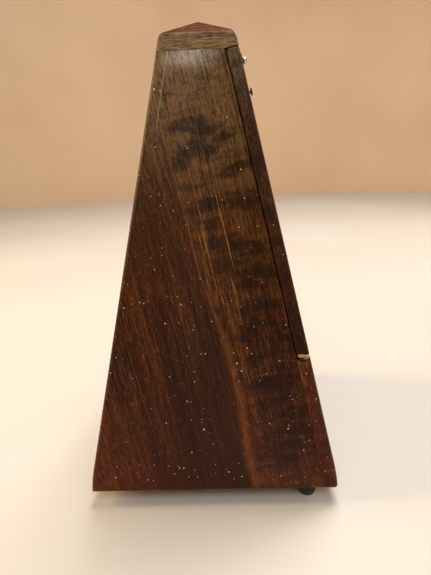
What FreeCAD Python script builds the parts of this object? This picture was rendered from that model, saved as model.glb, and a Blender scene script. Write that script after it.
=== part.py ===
import FreeCAD, Part
import math
import os
import Sketcher

# A wind-up pendulum metronome in a wooden pyramid case.
# Row frame: millimetres, origin on the floor under the middle of the case,
# +Z up, the removable front cover faces -Y, the winding key is on +X.
# "Lean" coordinates follow the front face: x across, v inwards from the
# face, w up the slope from the face's bottom edge.

SIZES = {
    "base_width": 117.0,        # width and depth of the case at its bottom edge
    "top_width": 32.56,         # width and depth at the eave
    "body_height": 198.25,      # bottom edge to eave
    "foot_height": 7.1,
    "roof_height": 8.35,
    "cap_band": 6.95,           # height of the cap's upright band
    "side_board": 5.5,
    "back_board": 5.0,
    "front_board": 6.2,         # lower front board, square to its face
    "base_board": 5.0,
    "seat_gap": 0.1,            # cover to the boards it rests on
    "cover_gap": 0.4,           # slit at the cover's top and foot
    "cover_foot": 62.88,        # slope distance to the top of the lower front board
    "cover_head": 196.6,        # slope distance to the cover's top edge
    "cover_skin": 1.8,
    "cover_rail": 3.2,
    "cover_foot_rail": 4.0,
    "cover_head_rail": 5.0,
    "knob_radius": 1.5,
    "knob_drop": 2.8,
    "knob_stand": 2.6,
    "knob_stem_radius": 0.7,
    "stud_radius": 1.75,
    "stud_drop": 16.3,
    "stud_stand": 3.2,
    "stud_thickness": 0.8,
    "stud_stem_radius": 0.6,
    "catch_width": 3.2,
    "catch_sheet": 0.5,
    "foot_radius": 4.5,
    "front_foot_x": 50.5,
    "front_foot_y": 44.5,
    "rear_foot_y": 44.0,
    "foot_recess_radius": 2.8,
    "foot_recess_depth": 3.0,
    "foot_screw_radius": 1.2,
    "scale_board": 4.0,
    "scale_board_depth": 7.0,   # front of the scale board, from the front face
    "scale_board_foot": 77.0,
    "scale_board_head": 195.0,
    "scale_plate": 0.4,
    "scale_plate_foot": 81.0,
    "scale_plate_head": 179.0,
    "scale_plate_foot_width": 27.0,
    "scale_plate_head_width": 17.0,
    "pivot_slope": 52.0,        # pendulum pivot, up the slope
    "rod_width": 3.2,
    "rod_thickness": 1.0,
    "rod_front": 3.7,           # depth of the rod's upper part
    "rod_back": 12.2,           # depth of the rod's lower part
    "rod_top": 190.0,
    "rod_foot": 14.5,
    "bob_radius": 10.5,
    "bob_thickness": 10.0,
    "bob_drop": 28.5,
    "weight_thickness": 3.6,
    "weight_height": 12.0,
    "weight_top_width": 16.0,
    "weight_foot_width": 13.0,
    "weight_slope": 118.0,      # middle of the sliding weight at rest
    "slot_clearance": 0.1,
    "weight_spring": 0.25,
    "verge_radius": 1.1,
    "verge_front_radius": 0.8,
    "verge_rear_radius": 0.6,
    "cock_sheet": 1.5,
    "front_cock_depth": 22.5,
    "rear_cock_depth": 52.0,
    "cock_reach": 4.5,
    "pallet_length": 2.1,
    "pallet_angle": 40.0,
    "bearing_clearance": 0.05,
    "wheel_depth": 38.0,        # crown wheel axis, inwards from the face
    "plate_thickness": 1.5,
    "inner_plate_x": 7.5,
    "outer_plate_x": 33.0,
    "plate_front": 27.0,
    "plate_back": 28.0,
    "plate_foot": 13.0,
    "plate_head": 61.0,
    "barrel_y": 3.0,
    "barrel_z": 32.0,
    "gear_module": 0.5,
    "great_teeth": 72,
    "middle_teeth": 60,
    "pinion_teeth": 10,
    "crown_teeth": 15,
    "crown_radius": 9.4,
    "crown_rim": 1.2,
    "crown_face_x": 1.9,        # plane of the crown wheel's tooth tips
    "crown_tooth": 1.5,
    "barrel_radius": 15.5,
    "barrel_wall": 0.8,
    "barrel_length": 15.0,
    "great_wheel_x": 10.2,
    "wheel_thickness": 1.2,
    "great_wheel_thickness": 1.5,
    "middle_wheel_x": 29.0,
    "spring_thickness": 0.35,
    "spring_turns": 8,
    "core_radius": 4.0,
    "arbor_radius": 2.5,
    "winding_radius": 1.8,
    "train_arbor_radius": 1.1,
    "train_pivot_radius": 0.7,
    "ratchet_x": 35.2,
    "ratchet_teeth": 12,
    "ratchet_radius": 8.0,
    "ratchet_depth": 1.4,
    "pillar_radius": 2.2,
    "screw_radius": 1.0,
    "screw_head_radius": 2.0,
    "screw_head": 1.1,
    "key_hole_radius": 5.0,
    "bush_bore_radius": 3.4,
    "key_shank_radius": 2.7,
    "key_start_x": 50.0,
    "key_shank_end_x": 62.0,
    "key_wing_x": 72.0,
    "key_wing_span": 20.0,
    "key_wing": 2.2,
}

doc = FreeCAD.newDocument("Metronome")
sheet = doc.addObject("Spreadsheet::Sheet", "Dims")
for row, (alias, number) in enumerate(SIZES.items(), start=1):
    sheet.set(f"A{row}", alias)
    sheet.set(f"B{row}", str(number))
    sheet.setAlias(f"B{row}", alias)
doc.recompute()


def size(name):
    return float(sheet.get(name))


SLOPE = "((Dims.base_width - Dims.top_width) / 2 / Dims.body_height)"
LEAN = math.atan((size("base_width") - size("top_width")) / 2 / size("body_height"))
SIN, COS, TAN = math.sin(LEAN), math.cos(LEAN), math.tan(LEAN)
HALF = size("base_width") / 2
FOOT = size("foot_height")
NODES = []


def on_face(v, w):
    """Row-frame (y, z) of a point v inwards from the front face and w up it."""
    return -HALF + w * SIN + v * COS, FOOT + w * COS - v * SIN


def half_at(z):
    """Half the case's outer width at height z."""
    return HALF - TAN * (z - FOOT)


def keep(obj, label):
    obj.Label = label
    NODES.append(obj)
    return obj


def number(owner, expression):
    if isinstance(expression, (int, float)):
        return float(expression)
    return float(owner.evalExpression(expression))


def sketch(body, role, loops, offset=0.0, turn=0.0):
    """A sketch on one of the body's own origin planes.

    A loop is a list of (x, y) corners, or (x, y, radius) for a circle. Each
    value is a number or an expression of the sheet.
    """
    sk = body.newObject("Sketcher::SketchObject", "Outline")
    plane = [o for o in body.Origin.OriginFeatures if o.Role == role][0]
    sk.AttachmentSupport = [(plane, "")]
    sk.MapMode = "FlatFace"
    spin = FreeCAD.Rotation(FreeCAD.Vector(1, 0, 0), turn)
    base = FreeCAD.Vector(0, 0, number(body, offset))
    sk.AttachmentOffset = FreeCAD.Placement(base, spin)
    if isinstance(offset, str):
        sk.setExpression("AttachmentOffset.Base.z", offset)

    def pin(kind, geometry, point, expression):
        value = number(body, expression)
        index = sk.addConstraint(Sketcher.Constraint(kind, -1, 1, geometry, point, value))
        if isinstance(expression, str):
            sk.setExpression(f"Constraints[{index}]", expression)

    for loop in loops:
        if isinstance(loop, tuple):
            cx, cy, radius = loop
            centre = FreeCAD.Vector(number(body, cx), number(body, cy), 0)
            up = FreeCAD.Vector(0, 0, 1)
            circle = Part.Circle(centre, up, number(body, radius))
            index = sk.addGeometry(circle, False)
            pin("DistanceX", index, 3, cx)
            pin("DistanceY", index, 3, cy)
            r = sk.addConstraint(Sketcher.Constraint("Radius", index, number(body, radius)))
            if isinstance(radius, str):
                sk.setExpression(f"Constraints[{r}]", radius)
            continue
        corners = [FreeCAD.Vector(number(body, x), number(body, y), 0) for x, y in loop]
        first = sk.GeometryCount
        count = len(corners)
        for i in range(count):
            line = Part.LineSegment(corners[i], corners[(i + 1) % count])
            sk.addGeometry(line, False)
        for i in range(count):
            joint = Sketcher.Constraint("Coincident", first + i, 2, first + (i + 1) % count, 1)
            sk.addConstraint(joint)
        for i, (x, y) in enumerate(loop):
            pin("DistanceX", first + i, 1, x)
            pin("DistanceY", first + i, 1, y)
    return sk


def span(body, kind, role, loops, start, end):
    """Pad or pocket loops from start to end along the plane's row axis."""
    low, high = f"({start})", f"({end})"
    offset = f"-{high}" if role == "XZ_Plane" else low
    sk = sketch(body, role, loops, offset)
    feature = body.newObject(f"PartDesign::{kind}", kind)
    feature.Profile = sk
    feature.setExpression("Length", f"{high} - {low}")
    if kind == "Pocket":
        feature.Reversed = True
    body.Tip = feature
    return feature


def new_body(label):
    body = doc.addObject("PartDesign::Body", label)
    return keep(body, label)


def keep_inside(body, role, loop):
    """Cut away everything outside loop, through the whole body."""
    wide = "(Dims.base_width * 3)"
    frame = [(f"-{wide}", f"-{wide}"), (wide, f"-{wide}"), (wide, wide), (f"-{wide}", wide)]
    sk = sketch(body, role, [frame, loop])
    cut = body.newObject("PartDesign::Pocket", "Trim")
    cut.Profile = sk
    cut.Type = 1
    cut.Midplane = True
    body.Tip = cut
    return cut


def turned(label, loops, position, axis="Z"):
    """A body of revolution from (radius, height) loops, its axis turned to axis."""
    body = new_body(label)
    sk = sketch(body, "XZ_Plane", loops)
    round_ = body.newObject("PartDesign::Revolution", "Turning")
    round_.Profile = sk
    round_.ReferenceAxis = (sk, ["V_Axis"])
    round_.Angle = 360.0
    body.Tip = round_
    body.Placement = placed(position, axis)
    return body


def placed(position, axis):
    if axis == "X":
        turn = FreeCAD.Rotation(FreeCAD.Vector(0, 1, 0), 90)
    elif axis == "V":
        turn = FreeCAD.Rotation(FreeCAD.Vector(1, 0, 0), -90 - math.degrees(LEAN))
    else:
        turn = FreeCAD.Rotation()
    return FreeCAD.Placement(FreeCAD.Vector(*position), turn)


def feature(label, shape):
    obj = doc.addObject("Part::Feature", label)
    obj.Shape = shape
    return keep(obj, label)


def slab(loop, x0, x1):
    """A prism from (y, z) corners between two x planes."""
    corners = [FreeCAD.Vector(x0, y, z) for y, z in loop]
    face = Part.Face(Part.makePolygon(corners + corners[:1]))
    return face.extrude(FreeCAD.Vector(x1 - x0, 0, 0))


def rod_x(radius, x0, x1, y, z):
    start = FreeCAD.Vector(x0, y, z)
    return Part.makeCylinder(radius, x1 - x0, start, FreeCAD.Vector(1, 0, 0))


def rod_v(radius, v0, v1, x, w):
    y, z = on_face(v0, w)
    direction = FreeCAD.Vector(0, COS, -SIN)
    return Part.makeCylinder(radius, v1 - v0, FreeCAD.Vector(x, y, z), direction)


def rod_z(radius, z0, z1, x, y):
    return Part.makeCylinder(radius, z1 - z0, FreeCAD.Vector(x, y, z0))


# --- case ---------------------------------------------------------------
Z0 = "Dims.foot_height"
EAVE = "(Dims.foot_height + Dims.body_height)"
CAP = "(Dims.foot_height + Dims.body_height - Dims.cap_band)"


def outer(z):
    return f"(Dims.base_width / 2 - {SLOPE} * ({z} - Dims.foot_height))"


def wall(inset, low, high):
    """A trapezoid inside both sloping outer faces, between two heights."""
    return [
        (f"-({outer(low)} - {inset})", low),
        (f"{outer(low)} - {inset}", low),
        (f"{outer(high)} - {inset}", high),
        (f"-({outer(high)} - {inset})", high),
    ]


def face_point(v, w):
    """(y, z) expressions of a point in lean coordinates."""
    sin_, cos_ = f"sin(atan({SLOPE}))", f"cos(atan({SLOPE}))"
    y = f"-Dims.base_width / 2 + ({w}) * {sin_} + ({v}) * {cos_}"
    z = f"Dims.foot_height + ({w}) * {cos_} - ({v}) * {sin_}"
    return y, z


COSINE = f"cos(atan({SLOPE}))"
FRONT_DEPTH = f"(Dims.front_board / {COSINE})"
TOP_W = f"((Dims.body_height - Dims.cap_band) / {COSINE})"


def side_board(label, sign):
    body = new_body(label)
    across = [
        (f"{sign} * {outer(Z0)}", Z0),
        (f"{sign} * {outer(CAP)}", CAP),
        (f"{sign} * ({outer(CAP)} - Dims.side_board)", CAP),
        (f"{sign} * ({outer(Z0)} - Dims.side_board)", Z0),
    ]
    span(body, "Pad", "XZ_Plane", [across], "-Dims.base_width", "Dims.base_width")
    along = [
        (f"-({outer(Z0)} - {FRONT_DEPTH})", Z0),
        (outer(Z0), Z0),
        (outer(CAP), CAP),
        (f"-({outer(CAP)} - {FRONT_DEPTH})", CAP),
    ]
    keep_inside(body, "YZ_Plane", along)
    return body


side_board("left_side_board", -1)
right = side_board("right_side_board", 1)
hole = [("Dims.barrel_y", "Dims.barrel_z", "Dims.key_hole_radius")]
span(right, "Pocket", "YZ_Plane", hole, "0", "Dims.base_width")

back = new_body("back_board")
rear = [
    (f"{outer(Z0)} - Dims.back_board", Z0),
    (outer(Z0), Z0),
    (outer(CAP), CAP),
    (f"{outer(CAP)} - Dims.back_board", CAP),
]
span(back, "Pad", "YZ_Plane", [rear], "-Dims.base_width", "Dims.base_width")
keep_inside(back, "XZ_Plane", wall("Dims.side_board", Z0, CAP))

lower = new_body("lower_front_board")
fore = [
    (f"-{outer(Z0)}", Z0),
    face_point("0", "Dims.cover_foot"),
    face_point("Dims.front_board", "Dims.cover_foot"),
    (f"-({outer(Z0)} - {FRONT_DEPTH})", Z0),
]
span(lower, "Pad", "YZ_Plane", [fore], "-Dims.base_width", "Dims.base_width")
keep_inside(lower, "XZ_Plane", wall("0", Z0, CAP))

base_top = "(Dims.foot_height + Dims.base_board)"
base = new_body("base_board")
floor_edge = [
    (f"-({outer(Z0)} - {FRONT_DEPTH})", Z0),
    (f"{outer(Z0)} - Dims.back_board", Z0),
    (f"{outer(base_top)} - Dims.back_board", base_top),
    (f"-({outer(base_top)} - {FRONT_DEPTH})", base_top),
]
span(base, "Pad", "YZ_Plane", [floor_edge], "-Dims.base_width", "Dims.base_width")
keep_inside(base, "XZ_Plane", wall("Dims.side_board", Z0, base_top))
feet_at = [
    ("-Dims.front_foot_x", "-Dims.front_foot_y"),
    ("Dims.front_foot_x", "-Dims.front_foot_y"),
    ("0", "Dims.rear_foot_y"),
]
pilot = [(x, y, "Dims.foot_screw_radius") for x, y in feet_at]
span(base, "Pocket", "XY_Plane", pilot, Z0, base_top)

cap = new_body("top_cap")
ridge = "(Dims.foot_height + Dims.body_height + Dims.roof_height)"
slit = "(Dims.cover_head + Dims.cover_gap)"
lip_y, lip_z = face_point("0", slit)
heel_y, heel_z = face_point("Dims.front_board", slit)
cap_side = [
    (f"{outer(CAP)}", CAP),
    (f"{outer(EAVE)}", EAVE),
    ("0", ridge),
    (f"-{outer(EAVE)}", EAVE),
    (lip_y, lip_z),
    (heel_y, heel_z),
    (heel_y, CAP),
]
span(cap, "Pad", "YZ_Plane", [cap_side], "-Dims.base_width", "Dims.base_width")
cap_front = [
    (f"-{outer(CAP)}", CAP),
    (f"{outer(CAP)}", CAP),
    (f"{outer(EAVE)}", EAVE),
    ("0", ridge),
    (f"-{outer(EAVE)}", EAVE),
]
keep_inside(cap, "XZ_Plane", cap_front)

# --- removable front cover ----------------------------------------------
def cover_layer(label, near, far):
    """A full-width layer of the cover between two depths."""
    body = new_body(label)
    section = [
        face_point(near, "Dims.cover_foot + Dims.cover_gap"),
        face_point(near, "Dims.cover_head"),
        face_point(far, "Dims.cover_head"),
        face_point(far, "Dims.cover_foot + Dims.cover_gap"),
    ]
    span(body, "Pad", "YZ_Plane", [section], "-Dims.base_width", "Dims.base_width")
    keep_inside(body, "XZ_Plane", wall("0", Z0, EAVE))
    return body


panel = cover_layer("cover_panel", "0", "Dims.cover_skin")
rails = cover_layer("cover_rails_at_sides", "Dims.cover_skin", "Dims.front_board - Dims.seat_gap")
doc.recompute()


def lean_prism(loop, v0, v1):
    """A prism from (x, w) corners between two depths."""
    corners = []
    for x, w in loop:
        y, z = on_face(v0, w)
        corners.append(FreeCAD.Vector(x, y, z))
    face = Part.Face(Part.makePolygon(corners + corners[:1]))
    return face.extrude(FreeCAD.Vector(0, (v1 - v0) * COS, -(v1 - v0) * SIN))


def lean_bar(loop, x0, x1):
    """A prism from (v, w) corners between two x planes."""
    return slab([on_face(v, w) for v, w in loop], x0, x1)


def carve(label, body, tools):
    """The body less the tools, as the node called label."""
    tool = doc.addObject("Part::Feature", label + "_tools")
    tool.Shape = Part.makeCompound(tools)
    body.Label = label + "_blank"
    NODES.remove(body)
    cut = doc.addObject("Part::Cut", label)
    cut.Base = body
    cut.Tool = tool
    return keep(cut, label)


def half_on_face(w):
    """Half the case's outer width at slope distance w on the front face."""
    return HALF - w * SIN


seat = size("front_board") - size("seat_gap")
cover_low = size("cover_foot") + size("cover_gap")
cover_high = size("cover_head")
recess_low = cover_low + size("cover_foot_rail")
recess_high = cover_high - size("cover_head_rail")
rail = size("cover_rail")
skin = size("cover_skin")


def between_rails(w0, w1, v0, v1):
    """The space between the cover's side rails, over a stretch of the slope."""
    x0, x1 = half_on_face(w0) - rail, half_on_face(w1) - rail
    return lean_prism([(-x0, w0), (x0, w0), (x1, w1), (-x1, w1)], v0, v1)


knob_w = cover_high - size("knob_drop")
stud_w = cover_high - size("stud_drop")
tab_low = cover_low - 4.0
tab_high = cover_low + size("cover_foot_rail")
tab_screw_w = (cover_low + tab_high) / 2
tab_centres = (-28.0, 28.0)
tab_half = 4.0
tab_sheet = 0.8
knob_depth = 3.5
knob_hole = rod_v(size("knob_stem_radius"), -1, knob_depth, 0, knob_w)
stud_hole = rod_v(size("stud_stem_radius"), -1, skin - 0.4, 0, stud_w)
carve("cover_panel", panel, [knob_hole, stud_hole])
side_rails = carve("cover_rails_at_sides", rails, [between_rails(cover_low - 10, cover_high + 10, 0, seat + 5)])
NODES.remove(side_rails)
doc.recompute()
head_rail = between_rails(recess_high, cover_high, skin, seat)
head_rail = head_rail.cut(knob_hole)
foot_rail = between_rails(cover_low, recess_low, skin, seat)
for x in tab_centres:
    foot_rail = foot_rail.cut(rod_v(0.7, seat - 4, seat + 1, x, tab_screw_w))
feature("cover_rails", Part.makeCompound(side_rails.Shape.Solids + [head_rail, foot_rail]))

knob_r = size("knob_radius")
knob_y, knob_z = on_face(-size("knob_stand"), knob_w)
ball = Part.makeSphere(knob_r, FreeCAD.Vector(0, knob_y, knob_z))
stem = rod_v(size("knob_stem_radius"), -size("knob_stand"), knob_depth, 0, knob_w)
feature("cover_knob", ball.fuse(stem).removeSplitter())
stud_v = -size("stud_stand")
disc = rod_v(size("stud_radius"), stud_v, stud_v + size("stud_thickness"), 0, stud_w)
stud_stem = rod_v(size("stud_stem_radius"), stud_v, skin - 0.4, 0, stud_w)
feature("cover_stud", disc.fuse(stud_stem).removeSplitter())

tabs = []
tab_screws = []
hook_v = size("front_board") + 0.15
for x in tab_centres:
    tab_side = [
        (seat, tab_high),
        (hook_v + tab_sheet, tab_high),
        (hook_v + tab_sheet, tab_low),
        (hook_v, tab_low),
        (hook_v, cover_low + 0.3),
        (seat, cover_low + 0.3),
    ]
    tab = lean_bar(tab_side, x - tab_half, x + tab_half)
    tabs.append(tab.cut(rod_v(0.7, seat - 2, seat + 5, x, tab_screw_w)))
    shank = rod_v(0.7, seat - 4, hook_v + tab_sheet, x, tab_screw_w)
    head = rod_v(1.5, hook_v + tab_sheet, hook_v + tab_sheet + 0.7, x, tab_screw_w)
    tab_screws.append(shank.fuse(head).removeSplitter())
feature("cover_tabs", Part.makeCompound(tabs))
feature("cover_tab_screws", Part.makeCompound(tab_screws))

# --- spring catch on the cap's band ---------------------------------------
catch_w = cover_high + size("cover_gap")
sheet_t = size("catch_sheet")
catch_line = [
    (0.0, catch_w + 2.6),
    (0.0, catch_w + 0.5),
    (-1.3, catch_w - 0.4),
    (-1.3, cover_high - 1.2),
    (-0.6, cover_high - 2.0),
    (-0.6 - sheet_t, cover_high - 1.9),
    (-1.3 - sheet_t, cover_high - 1.1),
    (-1.3 - sheet_t, catch_w - 0.1),
    (-sheet_t, catch_w + 0.8),
    (-sheet_t, catch_w + 2.6),
]
catch_half = size("catch_width") / 2
catch = lean_bar(catch_line, -catch_half, catch_half)
catch_screw_w = catch_w + 1.7
slot = lean_bar(
    [(-3, cover_high - 1.4), (1, cover_high - 1.4), (1, cover_high - 4), (-3, cover_high - 4)],
    -0.8,
    0.8,
)
catch = catch.cut(slot).cut(rod_v(0.5, -2, 1, 0, catch_screw_w))
feature("cover_catch", catch.removeSplitter())
screw = rod_v(0.9, -sheet_t - 0.5, -sheet_t, 0, catch_screw_w)
screw = screw.fuse(rod_v(0.5, -sheet_t, 3.0, 0, catch_screw_w)).removeSplitter()
feature("catch_screw", screw)
carve("top_cap", cap, [rod_v(0.5, -0.5, 3.0, 0, catch_screw_w)])

# --- feet -----------------------------------------------------------------
feet_screws = []
for name, (fx, fy) in zip(("front_left", "front_right", "rear"), feet_at):
    x, y = number(base, fx), number(base, fy)
    profile = [
        ("Dims.foot_screw_radius", "Dims.foot_recess_depth"),
        ("Dims.foot_recess_radius", "Dims.foot_recess_depth"),
        ("Dims.foot_recess_radius", "0"),
        ("Dims.foot_radius * 0.86", "0"),
        ("Dims.foot_radius", "Dims.foot_height * 0.3"),
        ("Dims.foot_radius", "Dims.foot_height"),
        ("Dims.foot_screw_radius", "Dims.foot_height"),
    ]
    turned(f"{name}_foot", [profile], (x, y, 0))
    top = FOOT + size("base_board") - 0.5
    depth = size("foot_recess_depth")
    head = rod_z(size("foot_recess_radius") - 0.3, depth - 1.4, depth, x, y)
    shank = rod_z(size("foot_screw_radius"), depth, top, x, y)
    feet_screws.append(head.fuse(shank).removeSplitter())
feature("foot_screws", Part.makeCompound(feet_screws))

# --- scale board, scale plate and rod rest --------------------------------
board_v = size("scale_board_depth")
board_t = size("scale_board")
board_low, board_high = size("scale_board_foot"), size("scale_board_head")
side = size("side_board")


def inner_half(v, w):
    """Half the width between the side boards at a point of the lean plane."""
    y, z = on_face(v, w)
    return half_at(z) - side


scale_corners = [
    (-inner_half(board_v, board_low), board_low),
    (inner_half(board_v, board_low), board_low),
    (inner_half(board_v, board_high), board_high),
    (-inner_half(board_v, board_high), board_high),
]
plate_t = size("scale_plate")
plate_low, plate_high = size("scale_plate_foot"), size("scale_plate_head")
nails_at = [(0.0, plate_low + 3.0), (0.0, plate_high - 3.0)]
rest_w = 185.0
board = lean_prism(scale_corners, board_v, board_v + board_t)
for x, w in nails_at:
    board = board.cut(rod_v(0.5, board_v - 1, board_v + 3, x, w))
board = board.cut(rod_v(0.6, board_v - 1, board_v + 3, 0, rest_w))
feature("scale_board", board)
low_half = size("scale_plate_foot_width") / 2
high_half = size("scale_plate_head_width") / 2
plate_corners = [
    (-low_half, plate_low),
    (low_half, plate_low),
    (high_half, plate_high),
    (-high_half, plate_high),
]
dial = lean_prism(plate_corners, board_v - plate_t, board_v)
nails = []
for x, w in nails_at:
    dial = dial.cut(rod_v(0.5, board_v - 2, board_v + 1, x, w))
    pin = rod_v(0.5, board_v - plate_t, board_v + 3, x, w)
    top = rod_v(1.1, board_v - plate_t - 0.4, board_v - plate_t, x, w)
    nails.append(pin.fuse(top).removeSplitter())
feature("scale_plate", dial)
feature("scale_plate_pins", Part.makeCompound(nails))

rod_half = size("rod_width") / 2
rod_v0 = size("rod_front")
rod_v1 = rod_v0 + size("rod_thickness")
rest_gap = 0.3
prong = 0.6
rest_half = rod_half + 0.3 + prong
rest_low, rest_high = rest_w - 3.0, rest_w + 3.0
rest_front = rod_v1 + rest_gap
rest = lean_bar(
    [
        (rest_front, rest_low),
        (board_v, rest_low),
        (board_v, rest_high),
        (rest_front, rest_high),
    ],
    -rest_half,
    rest_half,
)
rest_cut = lean_bar(
    [
        (0.0, rest_low - 1),
        (board_v - prong, rest_low - 1),
        (board_v - prong, rest_high + 1),
        (0.0, rest_high + 1),
    ],
    -rod_half - 0.3,
    rod_half + 0.3,
)
rest = rest.cut(rest_cut).cut(rod_v(0.6, 0, board_v + 3, 0, rest_w))
feature("rod_rest", rest)
rest_head = rod_v(1.2, board_v - prong - 0.6, board_v - prong, 0, rest_w)
rest_shank = rod_v(0.6, board_v - prong, board_v + 3, 0, rest_w)
feature("rod_rest_screw", rest_head.fuse(rest_shank).removeSplitter())

# --- pendulum -------------------------------------------------------------
pivot_w = size("pivot_slope")
back_v0 = size("rod_back")
back_v1 = back_v0 + size("rod_thickness")
bend_low, bend_high = cover_low + 5.2, cover_low + 12.5
drop = size("rod_thickness") * 0.55
rod_side = [
    (back_v0, size("rod_foot")),
    (back_v1, size("rod_foot")),
    (back_v1, bend_low + drop),
    (rod_v1, bend_high + drop),
    (rod_v1, size("rod_top")),
    (rod_v0, size("rod_top")),
    (rod_v0, bend_high - drop),
    (back_v0, bend_low - drop),
]
rod = lean_bar(rod_side, -rod_half, rod_half)
front_r = size("verge_front_radius")
bob_w = pivot_w - size("bob_drop")
rod = rod.fuse(rod_v(3.2, back_v0, back_v1, 0, pivot_w)).removeSplitter()
rod = rod.cut(rod_v(front_r, back_v0 - 1, back_v1 + 1, 0, pivot_w))
rivets_w = (bob_w - 3.5, bob_w + 3.5)
for w in rivets_w:
    rod = rod.cut(rod_v(0.8, back_v0 - 1, back_v1 + 1, 0, w))
feature("pendulum_rod", rod)
bob_v1 = back_v1 + size("bob_thickness")
bob = rod_v(size("bob_radius"), back_v1, bob_v1, 0, bob_w)
bob = bob.makeChamfer(0.8, [bob.Edges[0], bob.Edges[2]])
rivets = []
for w in rivets_w:
    bob = bob.cut(rod_v(0.8, back_v1 - 1, back_v1 + 4, 0, w))
    rivet = rod_v(0.8, back_v0, back_v1 + 4, 0, w)
    rivets.append(rivet.fuse(rod_v(1.5, back_v0 - 0.7, back_v0, 0, w)).removeSplitter())
feature("pendulum_bob", bob)
feature("bob_rivets", Part.makeCompound(rivets))
collar = rod_v(3.0, back_v1, back_v1 + 2.2, 0, pivot_w)
feature("rod_collar", collar.cut(rod_v(front_r, back_v1 - 1, back_v1 + 5, 0, pivot_w)))

front_leaf = size("front_cock_depth")
rear_leaf = size("rear_cock_depth")
cock_t = size("cock_sheet")
verge_front = back_v0 - 0.6
verge_shoulder = front_leaf + cock_t + 0.35
verge_rear = rear_leaf - 0.35
rear_r = size("verge_rear_radius")
verge = rod_v(front_r, verge_front, verge_shoulder + 1, 0, pivot_w)
verge = verge.fuse(rod_v(size("verge_radius"), verge_shoulder, verge_rear, 0, pivot_w))
verge = verge.fuse(rod_v(rear_r, verge_rear - 1, rear_leaf + cock_t + 0.4, 0, pivot_w))
feature("verge_arbor", verge.removeSplitter())

wheel_v = size("wheel_depth")
rim_middle = size("crown_radius") - size("crown_rim") / 2
pallet_t = 0.5


def pallet(label, v_middle, sign):
    hub = rod_v(1.7, v_middle - 1.5, v_middle + 1.5, 0, pivot_w)
    length = size("pallet_length")
    blade = Part.makeBox(length, 3.0, pallet_t, FreeCAD.Vector(0, -1.5, -pallet_t / 2))
    turn = FreeCAD.Rotation(FreeCAD.Vector(0, 1, 0), -sign * size("pallet_angle"))
    blade.Placement = FreeCAD.Placement(FreeCAD.Vector(0, v_middle, pivot_w), turn)
    face_turn = FreeCAD.Rotation(FreeCAD.Vector(1, 0, 0), -math.degrees(LEAN))
    frame = FreeCAD.Placement(FreeCAD.Vector(0, -HALF, FOOT), face_turn)
    blade.Placement = frame.multiply(blade.Placement)
    body = hub.fuse(blade).removeSplitter()
    bore = rod_v(size("verge_radius"), v_middle - 5, v_middle + 5, 0, pivot_w)
    return feature(label, body.cut(bore))


pallet("front_pallet", wheel_v - rim_middle, 1)
pallet("rear_pallet", wheel_v + rim_middle, -1)

# --- sliding weight -------------------------------------------------------
weight_w = size("weight_slope")
weight_t = size("weight_thickness")
weight_v0 = (rod_v0 + rod_v1) / 2 - weight_t / 2
weight_low = weight_w - size("weight_height") / 2
weight_high = weight_w + size("weight_height") / 2
weight_corners = [
    (-size("weight_foot_width") / 2, weight_low),
    (size("weight_foot_width") / 2, weight_low),
    (size("weight_top_width") / 2, weight_high),
    (-size("weight_top_width") / 2, weight_high),
]
weight = lean_prism(weight_corners, weight_v0, weight_v0 + weight_t)
clear = size("slot_clearance")
spring_t = size("weight_spring")
slot_v0 = rod_v0 - spring_t - 0.25
slot_loop = [
    (slot_v0, weight_low - 1),
    (rod_v1 + clear, weight_low - 1),
    (rod_v1 + clear, weight_high + 1),
    (slot_v0, weight_high + 1),
]
weight = weight.cut(lean_bar(slot_loop, -rod_half - clear, rod_half + clear))
feature("sliding_weight", weight)
spring_loop = [
    (slot_v0, weight_low + 1.5),
    (slot_v0 + spring_t, weight_low + 1.5),
    (slot_v0 + spring_t, weight_high - 1.5),
    (slot_v0, weight_high - 1.5),
]
feature("weight_spring", lean_bar(spring_loop, -rod_half + 0.3, rod_half - 0.3))

# --- movement: positions of the wheels -------------------------------------
module = size("gear_module")
barrel_at = (size("barrel_y"), size("barrel_z"))
escape_at = on_face(wheel_v, pivot_w)
pinion_r = module * size("pinion_teeth") / 2
reach_barrel = module * size("great_teeth") / 2 + pinion_r
reach_escape = module * size("middle_teeth") / 2 + pinion_r
gap_y = barrel_at[0] - escape_at[0]
gap_z = barrel_at[1] - escape_at[1]
gap = math.hypot(gap_y, gap_z)
along = (reach_escape**2 - reach_barrel**2 + gap**2) / (2 * gap)
off = math.sqrt(reach_escape**2 - along**2)
middle_at = (
    escape_at[0] + along * gap_y / gap - off * gap_z / gap,
    escape_at[1] + along * gap_z / gap + off * gap_y / gap,
)
inner_x0 = size("inner_plate_x")
inner_x1 = inner_x0 + size("plate_thickness")
outer_x0 = size("outer_plate_x")
outer_x1 = outer_x0 + size("plate_thickness")
fit = size("bearing_clearance")
pivot_r = size("train_pivot_radius")
arbor_r = size("train_arbor_radius")
wind_r = size("winding_radius")


def angle_to(start, end):
    return math.atan2(end[1] - start[1], end[0] - start[0])


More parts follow.
